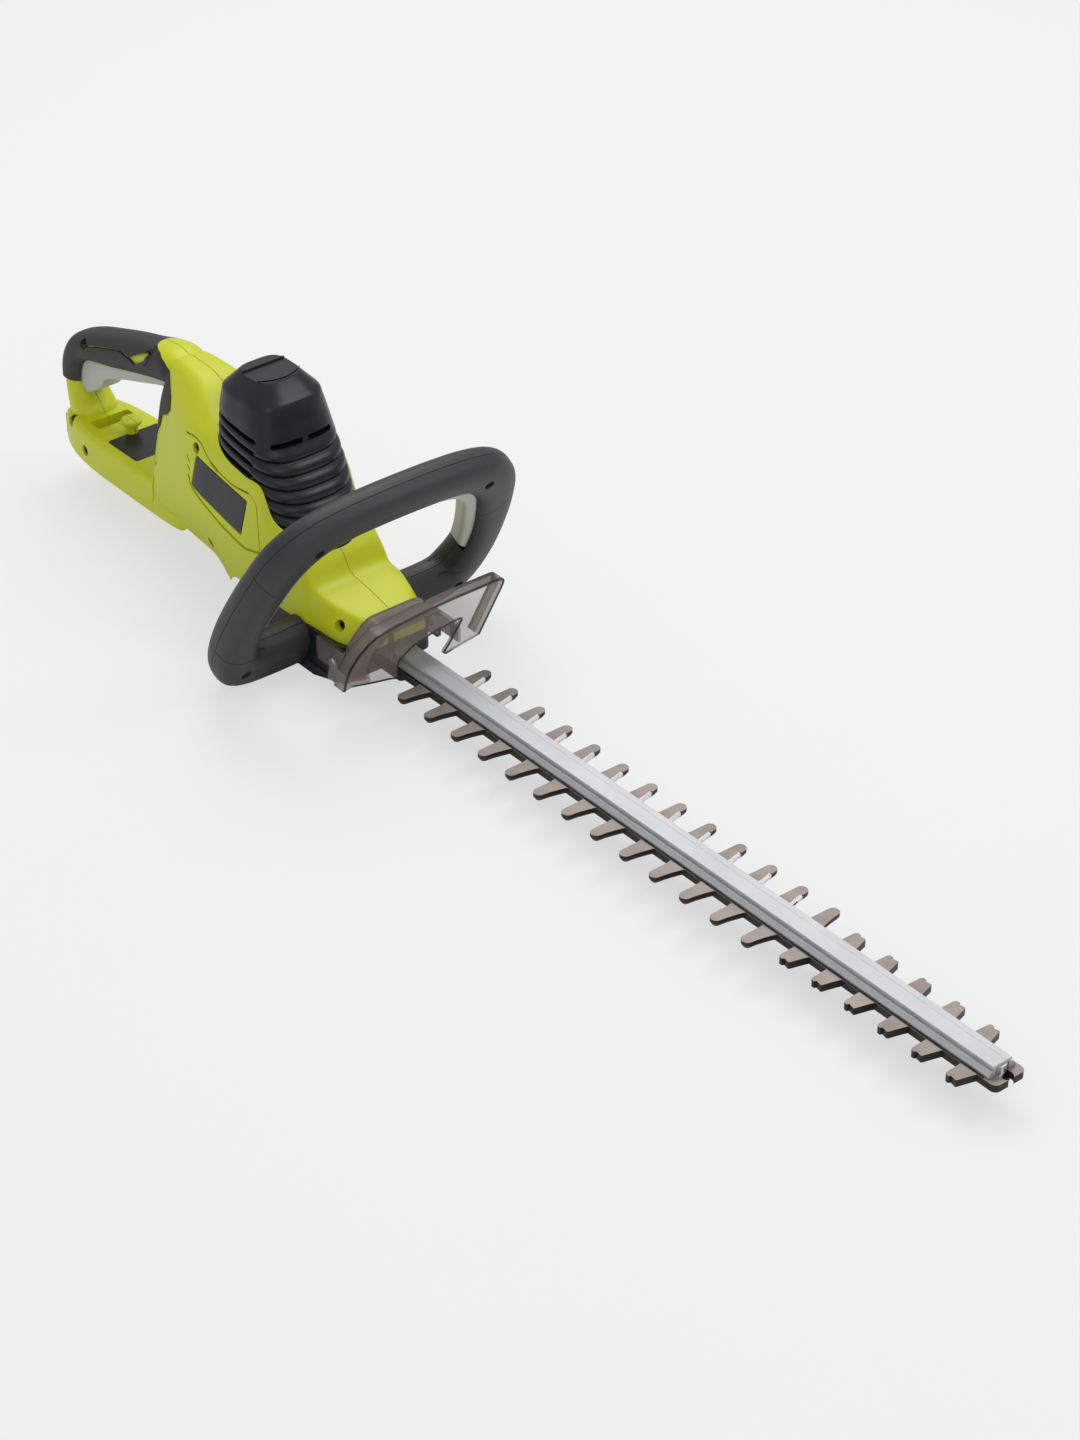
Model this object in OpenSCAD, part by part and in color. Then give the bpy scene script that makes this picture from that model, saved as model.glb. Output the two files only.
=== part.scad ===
// Hedge trimmer that runs on a battery or on the mains, with a double-sided reciprocating blade.
// The tool's frame is +X towards the far end of the blade, +Y to the user's left and +Z up.
// Inside the modules x = 0 is the first cutting gap in front of the guard and z = 0 is the plane in
// which the two blades slide on each other. in_place() then moves every piece so that the origin is
// under the middle of the tool, on the surface that it stands on.

/* [Blade bar] */
// Distance from one tooth to the next along the blade
tooth_pitch = 28; // [25:0.5:31]
// Number of teeth on the right-hand side of each blade
right_teeth = 19; // [14:1:20]
// Number of blunt teeth at the far end of the right-hand side
blunt_teeth = 6; // [3:1:8]
// Distance from the middle of the bar to the tip of a long tooth
tooth_reach = 33; // [30:0.5:38]
// Distance from the middle of the bar to the end of a blunt tooth
blunt_reach = 27.5; // [24:0.5:29]
// Width of a tooth's rounded tip
tip_w = 8; // [6:0.5:9]
// Width of a tooth where it leaves the spine
root_w = 12.5; // [11:0.5:14]
// Width of the ground bevel along a cutting edge
bevel_w = 2; // [1:0.1:3]
// Thickness of each blade
blade_t = 2.5; // [2:0.1:3]
// Width of each blade's spine
spine_w = 25; // [23:0.5:27]
// Gap between the sliding blades, and between a blade and what guides it
slide_gap = 0.1; // [0.06:0.01:0.2]
// Width of the blade rail's flat top
rail_top_w = 15.5; // [14:0.5:17]
// Width of the blade rail across its feet
rail_foot_w = 21.5; // [20.5:0.5:23]
// Height of the blade rail
rail_h = 7.4; // [6.5:0.1:9]
// Width of the channel inside the blade rail
rail_channel_w = 10.8; // [10:0.2:11.4]
// Diameter of the bolts' shoulders in the blade slots
shoulder_d = 8; // [7:0.5:9]

/* [Drive] */
// Tooth size (module) of the gear pair
gear_module = 1; // [0.9:0.05:1.05]
// Number of teeth on the drive gear
gear_teeth = 62; // [56:2:64]
// Number of teeth on the motor pinion
pinion_teeth = 12; // [10:1:14]
// Face width of the drive gear
gear_w = 6; // [4:0.5:7]
// Throw of each eccentric, which is half the stroke of its blade
crank_throw = 7; // [5:0.5:8]
// Diameter of each eccentric disc
crank_d = 26; // [25:0.5:28]
// Diameter of the drive gear's shaft
shaft_d = 10; // [8:0.5:11]
// Radial running clearance of the shafts in their bearings
run_gap = 0.05; // [0.02:0.01:0.09]
// Diameter of the motor's can
motor_d = 50; // [44:1:52]
// Length of the motor's can
motor_l = 68; // [60:1:70]

/* [Body] */
// Width of the body at its widest
body_w = 86; // [83:1:92]
// Wall thickness of the moulded housings
wall = 2.5; // [2:0.1:3]
// Height of the motor cover's top above the blade plane
cover_top = 160; // [156:1:166]
// Width of the motor cover at its widest
cover_w = 74; // [72:1:78]
// Width of the gear base
base_w = 75; // [74:0.5:76]
// Diameter of the screw heads in the housing
screw_head_d = 7; // [6:0.5:8]

/* [Rear handle] */
// Width of the lower arm of the rear handle
arm_w = 56; // [52:1:60]
// Height of the lower arm's flat top above the blade plane
arm_top = 33; // [31:1:36]
// Width of the grip
grip_w = 31; // [29:1:34]
// Thickness of the soft cover on the grip
soft_t = 2; // [1.5:0.1:2.4]
// Width of the trigger
trigger_w = 18; // [14:0.5:19]
// Length of the cord slot across the lower arm
slot_l = 32; // [26:1:34]
// Width of the cord slot along the lower arm
slot_w = 12; // [10:1:13]

/* [Front handle] */
// Lean of the front handle forward of upright
handle_lean = 28.5; // [26:0.5:31]
// Width of the front handle at its widest
handle_w = 226; // [218:1:240]
// Front-to-back thickness of the front handle's tube
tube_t = 28; // [26:0.5:30]
// Width of the switch lever, front to back
lever_w = 13; // [10:0.5:14]
// How far the switch lever slides when it is squeezed
lever_travel = 4; // [3:0.5:4.5]

/* [Guard] */
// Thickness of the guard's plastic
guard_t = 2.4; // [2:0.1:3]
// Reach of the guard's left wing from the middle
guard_reach = 75; // [68:1:80]
// Depth of the guard's folded rim
guard_rim = 8; // [6:0.5:10]

/* [Hidden] */
$fn = 48;
// Half steps in from a face that stop two cuts from ending on it
eps = 0.01;
// Clearance between pieces that stay still next to each other
fit = 0.25;

// ---- places along the tool ----
blade_end = (right_teeth - 1) * tooth_pitch + 27;
rail_end = blade_end - 7.5;
rear_x = -419;
mid_x = (rear_x - 4.36 + blade_end) / 2;
stand_h = 22.5;
gear_x = -121;
motor_x = gear_x - gear_module * (gear_teeth + pinion_teeth) / 2;

// ---- levels of the blade stack and the drive ----
upper_z = slide_gap / 2;
lower_z = -slide_gap / 2 - blade_t;
rail_z = upper_z + blade_t + slide_gap;
washer_z = lower_z - slide_gap;
gear_z = rail_z + 1.55;
plate_z = gear_z + gear_w + 0.6;
plate_top = 14;

// ---- front handle ----
handle_foot = [-101.1, 0, 2.77];

// ---- gear base ----
base_front = -50;
base_rear = motor_x - 10;
base_r = 9;
web_z = washer_z;
web_t = 9;
base_floor = -stand_h;
cover_t = 3;

lime = [0.78, 0.82, 0.2];
soft_grey = [0.27, 0.27, 0.28];
black = [0.13, 0.14, 0.16];
steel = [0.52, 0.49, 0.46];
bright = [0.8, 0.81, 0.82];

// ---------------------------------------------------------------- general helpers

// Moves a piece from the tool's own frame to where it stands
module in_place() translate([-mid_x, 0, stand_h]) children();

// Smooth curve through the rows of p at t from 0 to 1; a row may hold any number of values
function along(p, t) =
    let(s = min(t, 0.99999) * (len(p) - 1), i = floor(s), f = s - i,
        a = p[max(i - 1, 0)], b = p[i], c = p[i + 1], d = p[min(i + 2, len(p) - 1)])
    0.5 * (2 * b + (c - a) * f + (2 * a - 5 * b + 4 * c - d) * f * f
        + (3 * b - 3 * c + d - a) * f * f * f);

// Outline p with its inner corners rounded by short curves of n + 1 points that start r from each corner
function rounded(p, r, n) = concat([p[0]],
    [for (i = [1 : len(p) - 2])
        let(a = p[i - 1] - p[i], b = p[i + 1] - p[i],
            u = a * min(r[i] / norm(a), 0.45), v = b * min(r[i] / norm(b), 0.45))
        for (k = [0 : n]) let(t = k / n) p[i] + u * (1 - t) * (1 - t) + v * t * t],
    [p[len(p) - 1]]);

// Closed solid through rings that all have the same number of points
module skin(rings) {
    m = len(rings);
    n = len(rings[0]);
    polyhedron(
        points = [for (r = rings, q = r) q],
        faces = concat(
            [[for (j = [0 : n - 1]) j]],
            [[for (j = [0 : n - 1]) m * n - 1 - j]],
            [for (i = [0 : m - 2], j = [0 : n - 1])
                [i * n + j, (i + 1) * n + j, (i + 1) * n + (j + 1) % n]],
            [for (i = [0 : m - 2], j = [0 : n - 1])
                [i * n + j, (i + 1) * n + (j + 1) % n, i * n + (j + 1) % n]]),
        convexity = 8);
}

// Round-cornered ring about c whose half axes are the vectors a and b
function oval(c, a, b, e, n) = [for (k = [0 : n - 1])
    let(w = 360 * (k + 0.5) / n, x = cos(w), y = sin(w))
    c + a * sign(x) * pow(abs(x), 2 / e) + b * sign(y) * pow(abs(y), 2 / e)];

// Box with its upright edges rounded
module rounded_box(low, high, r) {
    translate([0, 0, low[2]]) linear_extrude(high[2] - low[2]) round_rect(low, high, r);
}

module round_rect(low, high, r) {
    translate([low[0] + r, low[1]]) square([high[0] - low[0] - 2 * r, high[1] - low[1]]);
    translate([low[0], low[1] + r]) square([high[0] - low[0], high[1] - low[1] - 2 * r]);
    for (x = [low[0] + r, high[0] - r], y = [low[1] + r, high[1] - r]) translate([x, y]) circle(r);
}

// Extrudes a side view, drawn as x and z, across the tool between two values of y
module side_cut(y0, y1) translate([0, y1, 0]) rotate([90, 0, 0]) linear_extrude(y1 - y0) children();

// Cylinder across the tool, from y0 to y1
module cross_rod(x, z, d, y0, y1) translate([x, y0, z]) rotate([-90, 0, 0]) cylinder(d = d, h = y1 - y0);

// Keeps the right-hand (-1) or the left-hand (1) half of a piece
module half(side) intersection() {
    children();
    translate([rear_x - 20, side > 0 ? 0 : -300, -100]) cube([blade_end - rear_x + 40, 300, 400]);
}

// ---------------------------------------------------------------- blades and rail

bolt_first = -36;
bolt_count = 6;
bolt_last = rail_end - 3.5;
function bolt_x(i) = bolt_first + i * (bolt_last - bolt_first) / (bolt_count - 1);
slot_half = crank_throw + 0.5;
yoke_gap = 0.22 * crank_throw;
yoke_x = crank_d / 2 + yoke_gap;
yoke_y = crank_d / 2 + crank_throw + 0.3;
yoke_rim = 5;
left_shift = 12.5;

// Outline of one tooth that points to -Y, with its rear flank at x = 0 on the spine
module long_tooth() {
    r = tip_w / 2;
    root = -spine_w / 2 + 1;
    translate([r, -tooth_reach + r]) circle(r, $fn = 24);
    polygon([[-1, root], [0.2, -tooth_reach + r + 0.6], [r, -tooth_reach + r - 1], [2 * r - 0.2, -tooth_reach + r],
        [root_w - 1.6, root - 4], [root_w, root]]);
}

// Tooth whose end is cut short in two small steps
module blunt_tooth() {
    root = -spine_w / 2 + 1;
    polygon([[-1, root], [-0.4, -blunt_reach + 2], [1.2, -blunt_reach], [3, -blunt_reach],
        [3.6, -blunt_reach + 1.4], [8, -blunt_reach + 0.6], [root_w - 1.4, root - 4], [root_w, root]]);
}

// Teeth of one side, which all point to -Y
module tooth_row(count, blunt) {
    for (i = [0 : count - 1]) translate([i * tooth_pitch, 0])
        if (i < count - blunt) long_tooth(); else blunt_tooth();
}

// Outline of a whole blade
module blade_outline() {
    difference() {
        union() {
            tooth_row(right_teeth, blunt_teeth);
            translate([left_shift, 0]) mirror([0, 1]) tooth_row(right_teeth - 1, blunt_teeth - 1);
            round_rect([gear_x, -spine_w / 2], [blade_end, spine_w / 2], 4);
            round_rect([gear_x - yoke_x - yoke_rim, -yoke_y - yoke_rim],
                [gear_x + yoke_x + yoke_rim, yoke_y + yoke_rim], 6);
        }
        translate([gear_x - yoke_x, -yoke_y]) square([2 * yoke_x, 2 * yoke_y]);
        for (i = [0 : bolt_count - 1]) translate([bolt_x(i), 0]) {
            for (s = [-1, 1]) translate([s * slot_half, 0]) circle(d = shoulder_d + 2 * slide_gap);
            translate([-slot_half, -shoulder_d / 2 - slide_gap])
                square([2 * slot_half, shoulder_d + 2 * slide_gap]);
        }
    }
}

// Long wedge that grinds the bevel along the cutting flank of one tooth, on the blade's top
module bevel_cut(x, side, lean) {
    translate([x, side * (spine_w / 2 + 1), blade_t]) mirror([0, side < 0 ? 1 : 0, 0]) rotate([0, 0, lean])
        rotate([-90, 0, 0]) linear_extrude(tooth_reach - spine_w / 2 - tip_w + 0.5)
            polygon([[-bevel_w, 0], [1, -0.5], [1, blade_t * 0.75]]);
}

module upper_blade() {
    color(steel) in_place() translate([0, 0, upper_z]) difference() {
        linear_extrude(blade_t) blade_outline();
        for (i = [0 : right_teeth - 2 - blunt_teeth])
            bevel_cut(i * tooth_pitch + left_shift + root_w - 1, 1, 12);
    }
}

module lower_blade() color(steel) in_place() translate([0, 0, lower_z]) linear_extrude(blade_t) blade_outline();

// Hat section with a groove under each edge of its flat top, open underneath for the nuts
module blade_rail() {
    f = rail_foot_w / 2;
    t = rail_top_w / 2;
    c = rail_channel_w / 2;
    h = rail_h;
    side = [[f, 0], [f, 1.6], [t + 1.5, h * 0.55], [t - 0.4, h * 0.62], [t - 0.4, h * 0.74],
        [t, h * 0.78], [t, h - 0.6], [t - 0.6, h]];
    outline = concat(side, [for (i = [7 : -1 : 0]) [-side[i][0], side[i][1]]],
        [[-c, 0], [-c, h - 1.8], [c, h - 1.8], [c, 0]]);
    color(bright) in_place() translate([rail_rear, 0, rail_z]) rotate([90, 0, 90])
        linear_extrude(rail_end - rail_rear) polygon(outline);
}
rail_rear = base_front - 12;
nut_h = rail_h - 1.8;
thread_d = 5;
washer_t = 1.2;
washer_d = 15;

module rail_nuts() color(bright) in_place() for (i = [0 : bolt_count - 1])
    translate([bolt_x(i), 0, rail_z]) difference() {
        cylinder(d = rail_channel_w, h = nut_h);
        translate([0, 0, -1]) cylinder(d = thread_d + 2 * run_gap, h = nut_h + 2);
    }

// The first bolt also holds the tongue of the gear base, so its head sits lower
function head_z(i) = i == 0 ? tongue_z : washer_z - washer_t;
tongue_t = 6;
tongue_z = web_z - tongue_t;

module blade_bolts() color(bright) in_place() for (i = [0 : bolt_count - 1])
    translate([bolt_x(i), 0, 0]) {
        translate([0, 0, head_z(i) - 3]) cylinder(d = 11, h = 3);
        translate([0, 0, head_z(i) - eps]) cylinder(d = shoulder_d, h = rail_z - head_z(i) + eps);
        translate([0, 0, rail_z - eps]) cylinder(d = thread_d, h = nut_h - 0.5);
    }

module blade_washers() color(bright) in_place() for (i = [1 : bolt_count - 1])
    translate([bolt_x(i), 0, washer_z - washer_t]) difference() {
        cylinder(d = washer_d, h = washer_t);
        translate([0, 0, -1]) cylinder(d = shoulder_d + 2 * run_gap, h = washer_t + 2);
    }

// ---------------------------------------------------------------- gears, base and motor

pressure = 25;
backlash = 0.06;

// Point on an involute of base radius rb where its radius is r, turned by a
function involute(rb, r, a) = let(roll = sqrt(max(r * r / (rb * rb) - 1, 0)), w = a + roll * 180 / PI - atan(roll))
    [r * cos(w), r * sin(w)];

// Involute gear outline with one tooth centred on +X
module gear_outline(teeth) {
    rp = gear_module * teeth / 2;
    rb = rp * cos(pressure);
    ra = rp + 0.95 * gear_module;
    rf = rp - 1.2 * gear_module;
    inv = (tan(pressure) * 180 / PI - pressure);
    start = -90 / teeth + backlash / rp * 90 / PI - inv;
    low = max(rb, rf);
    flank = [for (k = [0 : 4]) involute(rb, low + (ra - low) * k / 4, start)];
    root = rb > rf ? [[rf * cos(start), rf * sin(start)]] : [];
    tooth = concat(root, flank, [for (k = [4 : -1 : 0]) [flank[k][0], -flank[k][1]]],
        [for (q = root) [q[0], -q[1]]]);
    polygon([for (i = [0 : teeth - 1], q = tooth)
        let(w = 360 * i / teeth) [q[0] * cos(w) - q[1] * sin(w), q[0] * sin(w) + q[1] * cos(w)]]);
}

gear_r = gear_module * gear_teeth / 2 + gear_module;
pinion_r = gear_module * pinion_teeth / 2 + gear_module;
bush_d = shaft_d + 6;
bush_h = 8;

// Spur gear that carries the two opposed eccentric discs on its underside
module drive_gear() color(steel) in_place() translate([gear_x, 0, 0]) difference() {
    union() {
        translate([0, 0, gear_z]) linear_extrude(gear_w) difference() {
            gear_outline(gear_teeth);
            for (a = [0 : 60 : 300]) rotate(a) translate([gear_r * 0.66, 0]) circle(d = gear_r * 0.3);
        }
        translate([0, 0, rail_z]) cylinder(d = crank_d, h = gear_z - rail_z + eps);
        translate([0, -crank_throw, upper_z]) cylinder(d = crank_d, h = blade_t);
        translate([0, 0, upper_z + blade_t - eps]) cylinder(d = shaft_d + 4, h = slide_gap + 2 * eps);
        translate([0, crank_throw, lower_z]) cylinder(d = crank_d, h = blade_t);
        translate([0, 0, lower_z + blade_t - eps]) cylinder(d = shaft_d + 3, h = slide_gap + 2 * eps);
    }
    translate([0, 0, lower_z - 1]) cylinder(d = shaft_d, h = 30);
}

shaft_low = web_z - bush_h;
shaft_high = plate_z + bush_h;

module drive_shaft() color(bright) in_place() translate([gear_x, 0, shaft_low])
    cylinder(d = shaft_d, h = shaft_high - shaft_low);

module bush() difference() {
    cylinder(d = bush_d, h = bush_h);
    translate([0, 0, -1]) cylinder(d = shaft_d + 2 * run_gap, h = bush_h + 2);
}

module lower_bush() color("peru") in_place() translate([gear_x, 0, shaft_low - 0.5]) bush();
module upper_bush() color("peru") in_place() translate([gear_x, 0, plate_z + 0.5]) bush();

base_low = [base_rear, -base_w / 2, base_floor + cover_t];
base_high = [base_front, base_w / 2, plate_top];
cover_front = -84;
base_bosses = [[base_rear + 9, -base_w / 2 + 9], [base_rear + 9, base_w / 2 - 9],
    [cover_front - 9, -base_w / 2 + 9], [cover_front - 9, base_w / 2 - 9]];

// Black lower case: the gear pocket, the blades' slideway and the tongue under the blade bar
module gear_base() color(black) in_place() difference() {
    union() {
        difference() {
            rounded_box([base_low[0], base_low[1], base_floor], base_high, base_r);
            translate([base_rear - 10, -60, base_floor - 10]) cube([cover_front - base_rear + 10.1, 120, 10 + cover_t]);
            side_cut(-60, 60) polygon([[cover_front - 1, base_floor - 10], [cover_front - 1, base_floor],
                [base_front + 2, base_floor + 10.5], [base_front + 2, base_floor - 10]]);
        }
        rounded_box([base_front - 10, -spine_w / 2 + 2, tongue_z], [bolt_first + 12, spine_w / 2 - 2, web_z], 3);
    }
    // pockets for the gear and the pinion
    translate([gear_x, 0, gear_z - 0.7]) cylinder(r = gear_r + 1.2, h = 40);
    translate([motor_x, 0, gear_z - 0.7]) cylinder(r = pinion_r + 1.5, h = 40);
    // slideway for the two yokes, and its mouth for the blades and the rail
    rounded_box([gear_x - yoke_x - yoke_rim - crank_throw - 1.5, -yoke_y - yoke_rim - 0.5, web_z],
        [base_front - 12, yoke_y + yoke_rim + 0.5, gear_z - 0.6], 2);
    translate([rail_rear - 1, -spine_w / 2 - 0.6, web_z]) cube([40, spine_w + 1.2, rail_z - web_z]);
    translate([rail_rear - 1, -rail_foot_w / 2 - fit, rail_z - eps]) cube([40, rail_foot_w + 2 * fit, rail_h + 0.3]);
    // seat for the gear plate
    translate([0, 0, plate_z]) linear_extrude(40) plate_outline();
    // hollow under the slideway
    difference() {
        rounded_box([base_rear + 4, -base_w / 2 + 4, base_floor], [cover_front - 4, base_w / 2 - 4, web_z - web_t], 6);
        for (b = base_bosses) translate([b[0], b[1], base_floor]) cylinder(d = 9, h = 30);
        translate([gear_x, 0, base_floor]) cylinder(d = bush_d + 8, h = 30);
    }
    for (b = base_bosses) translate([b[0], b[1], base_floor]) cylinder(d = thread_d - 1, h = 16);
    translate([gear_x, 0, shaft_low - 0.5]) cylinder(d = bush_d, h = 30);
    translate([bolt_first, 0, tongue_z - 5]) cylinder(d = shoulder_d + 2 * run_gap, h = 20);
    // screws of the front handle's arms and of the guard
    for (s = [-1, 1], q = arm_screws) cross_rod(q[0], q[1], thread_d - 1, s > 0 ? base_w / 2 - 10 : -base_w / 2 - 1,
        s > 0 ? base_w / 2 + 1 : -base_w / 2 + 10);
    for (s = [-1, 1]) cross_rod(guard_screw[0], guard_screw[1], 3, s > 0 ? base_w / 2 - 8 : -base_w / 2 - 1,
        s > 0 ? base_w / 2 + 1 : -base_w / 2 + 8);
}
// Screws of the front handle's arms, a little behind the arms' mid-plane: x and z
arm_screws = [for (z = [0.4, -8]) [handle_foot[0] + (z - handle_foot[2]) * tan(handle_lean) - 6.8, z]];
guard_screw = [base_front - 8, 2];

module base_cover() color(black) in_place() difference() {
    intersection() {
        rounded_box([base_rear, -base_w / 2, base_floor], [base_front, base_w / 2, base_floor + cover_t], base_r);
        translate([base_rear - 1, -60, base_floor - 1]) cube([cover_front - base_rear + 1, 120, cover_t + 2]);
    }
    for (b = base_bosses) translate([b[0], b[1], base_floor - 1]) {
        cylinder(d = screw_head_d + 0.6, h = 2.6);
        cylinder(d = thread_d - 0.8, h = 6);
    }
}

module base_screws() color(bright) in_place() for (b = base_bosses) translate([b[0], b[1], base_floor + 0.3]) {
    cylinder(d = screw_head_d, h = 1.3);
    cylinder(d = thread_d - 1, h = 13);
}

module plate_outline() round_rect([base_rear + 2.5, -base_w / 2 + 2.5], [base_front - 12.5, base_w / 2 - 2.5], 7);
plate_bosses = [[base_rear + 7, -base_w / 2 + 8], [base_rear + 7, base_w / 2 - 8], [base_front - 18, -base_w / 2 + 10.5],
    [base_front - 18, base_w / 2 - 10.5]];
motor_screw_y = 16;

// Die-cast plate that closes the gear pocket and carries the motor
module gear_plate() color(bright) in_place() difference() {
    union() {
        translate([0, 0, plate_z]) linear_extrude(plate_top - plate_z) offset_plate();
        translate([gear_x, 0, plate_z]) cylinder(d = bush_d + 6, h = bush_h + 2);
    }
    translate([gear_x, 0, plate_z + 0.5]) cylinder(d = bush_d, h = 20);
    translate([gear_x, 0, plate_z - 1]) cylinder(d = shaft_d + 2, h = 20);
    translate([motor_x, 0, plate_z - 1]) cylinder(r = pinion_r + 0.6, h = 20);
    for (b = plate_bosses) translate([b[0], b[1], plate_z - 1]) cylinder(d = thread_d - 0.8, h = 20);
    for (s = [-1, 1]) translate([motor_x, s * motor_screw_y, plate_z - 1]) cylinder(d = thread_d - 0.8, h = 20);
}
module offset_plate() round_rect([base_rear + 2.5 + 0.1, -base_w / 2 + 2.6], [base_front - 12.6, base_w / 2 - 2.6], 7);

module plate_screws() color(bright) in_place() {
    for (b = plate_bosses) translate([b[0], b[1], 0]) {
        translate([0, 0, plate_top]) cylinder(d = screw_head_d, h = 2.5);
        translate([0, 0, plate_z]) cylinder(d = thread_d - 1, h = plate_top - plate_z + eps);
    }
    for (s = [-1, 1]) translate([motor_x, s * motor_screw_y, plate_z]) cylinder(d = thread_d - 1, h = 7);
}

can_z = plate_top;
can_top = can_z + motor_l;
can_wall = 2.5;
rotor_d = 5;
bearing_d = 13;
bearing_h = 4.5;
armature_d = motor_d - 14;

module motor_can() color("silver") in_place() translate([motor_x, 0, can_z]) difference() {
    cylinder(d = motor_d, h = motor_l);
    translate([0, 0, 6]) cylinder(d = motor_d - 2 * can_wall, h = motor_l);
    translate([0, 0, -1]) cylinder(r = pinion_r + 0.6, h = 2.5);
    translate([0, 0, -1]) cylinder(d = rotor_d + 4, h = 20);
    translate([0, 0, 1.5]) cylinder(d = bearing_d, h = 20);
    for (s = [-1, 1]) translate([0, s * motor_screw_y, -1]) cylinder(d = thread_d - 1, h = 5);
}

module motor_magnets() color("dimgray") in_place() translate([motor_x, 0, can_z + 14]) for (s = [0, 180]) rotate(s)
    intersection() {
        difference() {
            cylinder(d = motor_d - 2 * can_wall, h = motor_l - 26);
            translate([0, 0, -1]) cylinder(d = armature_d + 1, h = motor_l);
        }
        linear_extrude(motor_l) polygon([[0, 0], [60, -60], [60, 60]]);
    }

module motor_end_cap() color(black) in_place() translate([motor_x, 0, can_top]) difference() {
    cylinder(d = motor_d, h = 6);
    translate([0, 0, -1]) cylinder(d = rotor_d + 4, h = 20);
    translate([0, 0, -1]) cylinder(d = bearing_d, h = bearing_h + 1);
    for (s = [-1, 1]) translate([-2, s * 16 - 1.5, -1]) cube([4, 3, 9]);
}

module motor_bearings() color("gray") in_place() translate([motor_x, 0, 0])
    for (z = [can_z + 1.5, can_top]) translate([0, 0, z]) difference() {
        cylinder(d = bearing_d, h = bearing_h);
        translate([0, 0, -1]) cylinder(d = rotor_d + 2 * run_gap, h = bearing_h + 2);
    }

fan_z = can_top + 9;
fan_r = 21;
pinion_z = gear_z - 0.3;

// Armature shaft, laminated core and commutator
module motor_rotor() color("rosybrown") in_place() translate([motor_x, 0, 0]) {
    translate([0, 0, pinion_z]) cylinder(d = rotor_d, h = fan_z + 10 - pinion_z);
    translate([0, 0, can_z + 15]) cylinder(d = armature_d, h = motor_l - 30);
    translate([0, 0, can_top - 13]) cylinder(d = 16, h = 9);
}

module motor_pinion() color(steel) in_place() translate([motor_x, 0, pinion_z]) linear_extrude(gear_w + 0.6)
    difference() {
        rotate(180 / pinion_teeth) gear_outline(pinion_teeth);
        circle(d = rotor_d);
    }

module cooling_fan() color(black) in_place() translate([motor_x, 0, fan_z]) difference() {
    union() {
        cylinder(r = fan_r, h = 1.5);
        cylinder(d = rotor_d + 7, h = 8);
        for (a = [0 : 30 : 330]) rotate(a) translate([4, -0.6, 0]) cube([fan_r - 4.5, 1.2, 8]);
    }
    translate([0, 0, -1]) cylinder(d = rotor_d, h = 12);
}

brush_end = motor_d / 2 - can_wall - 0.2;
module motor_brushes() color("dimgray") in_place() translate([motor_x, 0, can_top - 12]) for (s = [-1, 1])
    translate([-3, s > 0 ? 8.3 : -brush_end, 0]) cube([6, brush_end - 8.3, 7]);

// ---------------------------------------------------------------- motor cover

cover_k = cover_w / 74;
// Rows of the motor cover: height, rear x, front x, half width
cover_rows = [[36, -205, -99, 36], [52, -205, -101, 36.3], [70, -205, -109, 36.6], [90, -205, -119, 36.3],
    [106, -205, -128, 35.4], [120, -204.5, -136.5, 33.8], [134, -204, -141.5, 31.3], [cover_top - 14, -203, -145, 28],
    [cover_top - 8, -200.5, -148.5, 25.5], [cover_top - 2.5, -197, -152.5, 21.5], [cover_top, -191, -158, 16.5]];
rib_low = 50;
rib_pitch = 8;
rib_count = 8;
rib_depth = 1.8;

// Row of the cover at height z, found between the listed rows
function cover_row(z) = let(i = max([for (k = [0 : len(cover_rows) - 2]) if (cover_rows[k][0] <= z) k]),
    a = cover_rows[i], b = cover_rows[i + 1], t = (z - a[0]) / (b[0] - a[0])) a + (b - a) * t;

function cover_ring(z, grow) = let(r = cover_row(z))
    oval([(r[1] + r[2]) / 2, 0, z], [(r[2] - r[1]) / 2 + grow, 0, 0], [0, r[3] * cover_k + grow, 0], 2.6, 26);

// Rings of the cover's outside; each rib is flat, with a groove under the next one
function cover_outside() = concat([cover_ring(36, 0)],
    [for (i = [0 : rib_count - 1], q = [[0, 0], [0.62, 0], [0.72, 1], [0.9, 1]])
        cover_ring(rib_low + (i + q[0]) * rib_pitch, -q[1] * rib_depth)],
    [cover_ring(rib_low + rib_count * rib_pitch, 0)],
    [for (k = [5 : len(cover_rows) - 1]) cover_ring(cover_rows[k][0], 0)]);

function cover_plain(grow, drop) = [for (k = [0 : len(cover_rows) - 1])
    let(r = cover_rows[k], q = cover_ring(r[0], grow)) k == 0 ? [for (p = q) p - [0, 0, drop]]
        : k == len(cover_rows) - 1 ? [for (p = q) p + [0, 0, grow]] : q];

vent_slot_z = 121;
module motor_cover() color(black) in_place() difference() {
    skin(cover_outside());
    skin(cover_plain(-wall - rib_depth, 3));
    // two cooling slots across the front
    for (s = [-1, 1]) translate([-150, s > 0 ? 3 : -21, vent_slot_z]) cube([30, 18, 3.2]);
    // louvres in each side
    for (s = [-1, 1], i = [4 : rib_count - 1]) translate([-190, s > 0 ? 20 : -60, rib_low + i * rib_pitch + 5.6])
        cube([28, 40, 2]);
    // shallow recess for a bare name strip on the top
    translate([-182, -15, cover_top - 0.8]) cube([14, 30, 5]);
}

// ---------------------------------------------------------------- body housings

k_w = body_w / 86;
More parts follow.
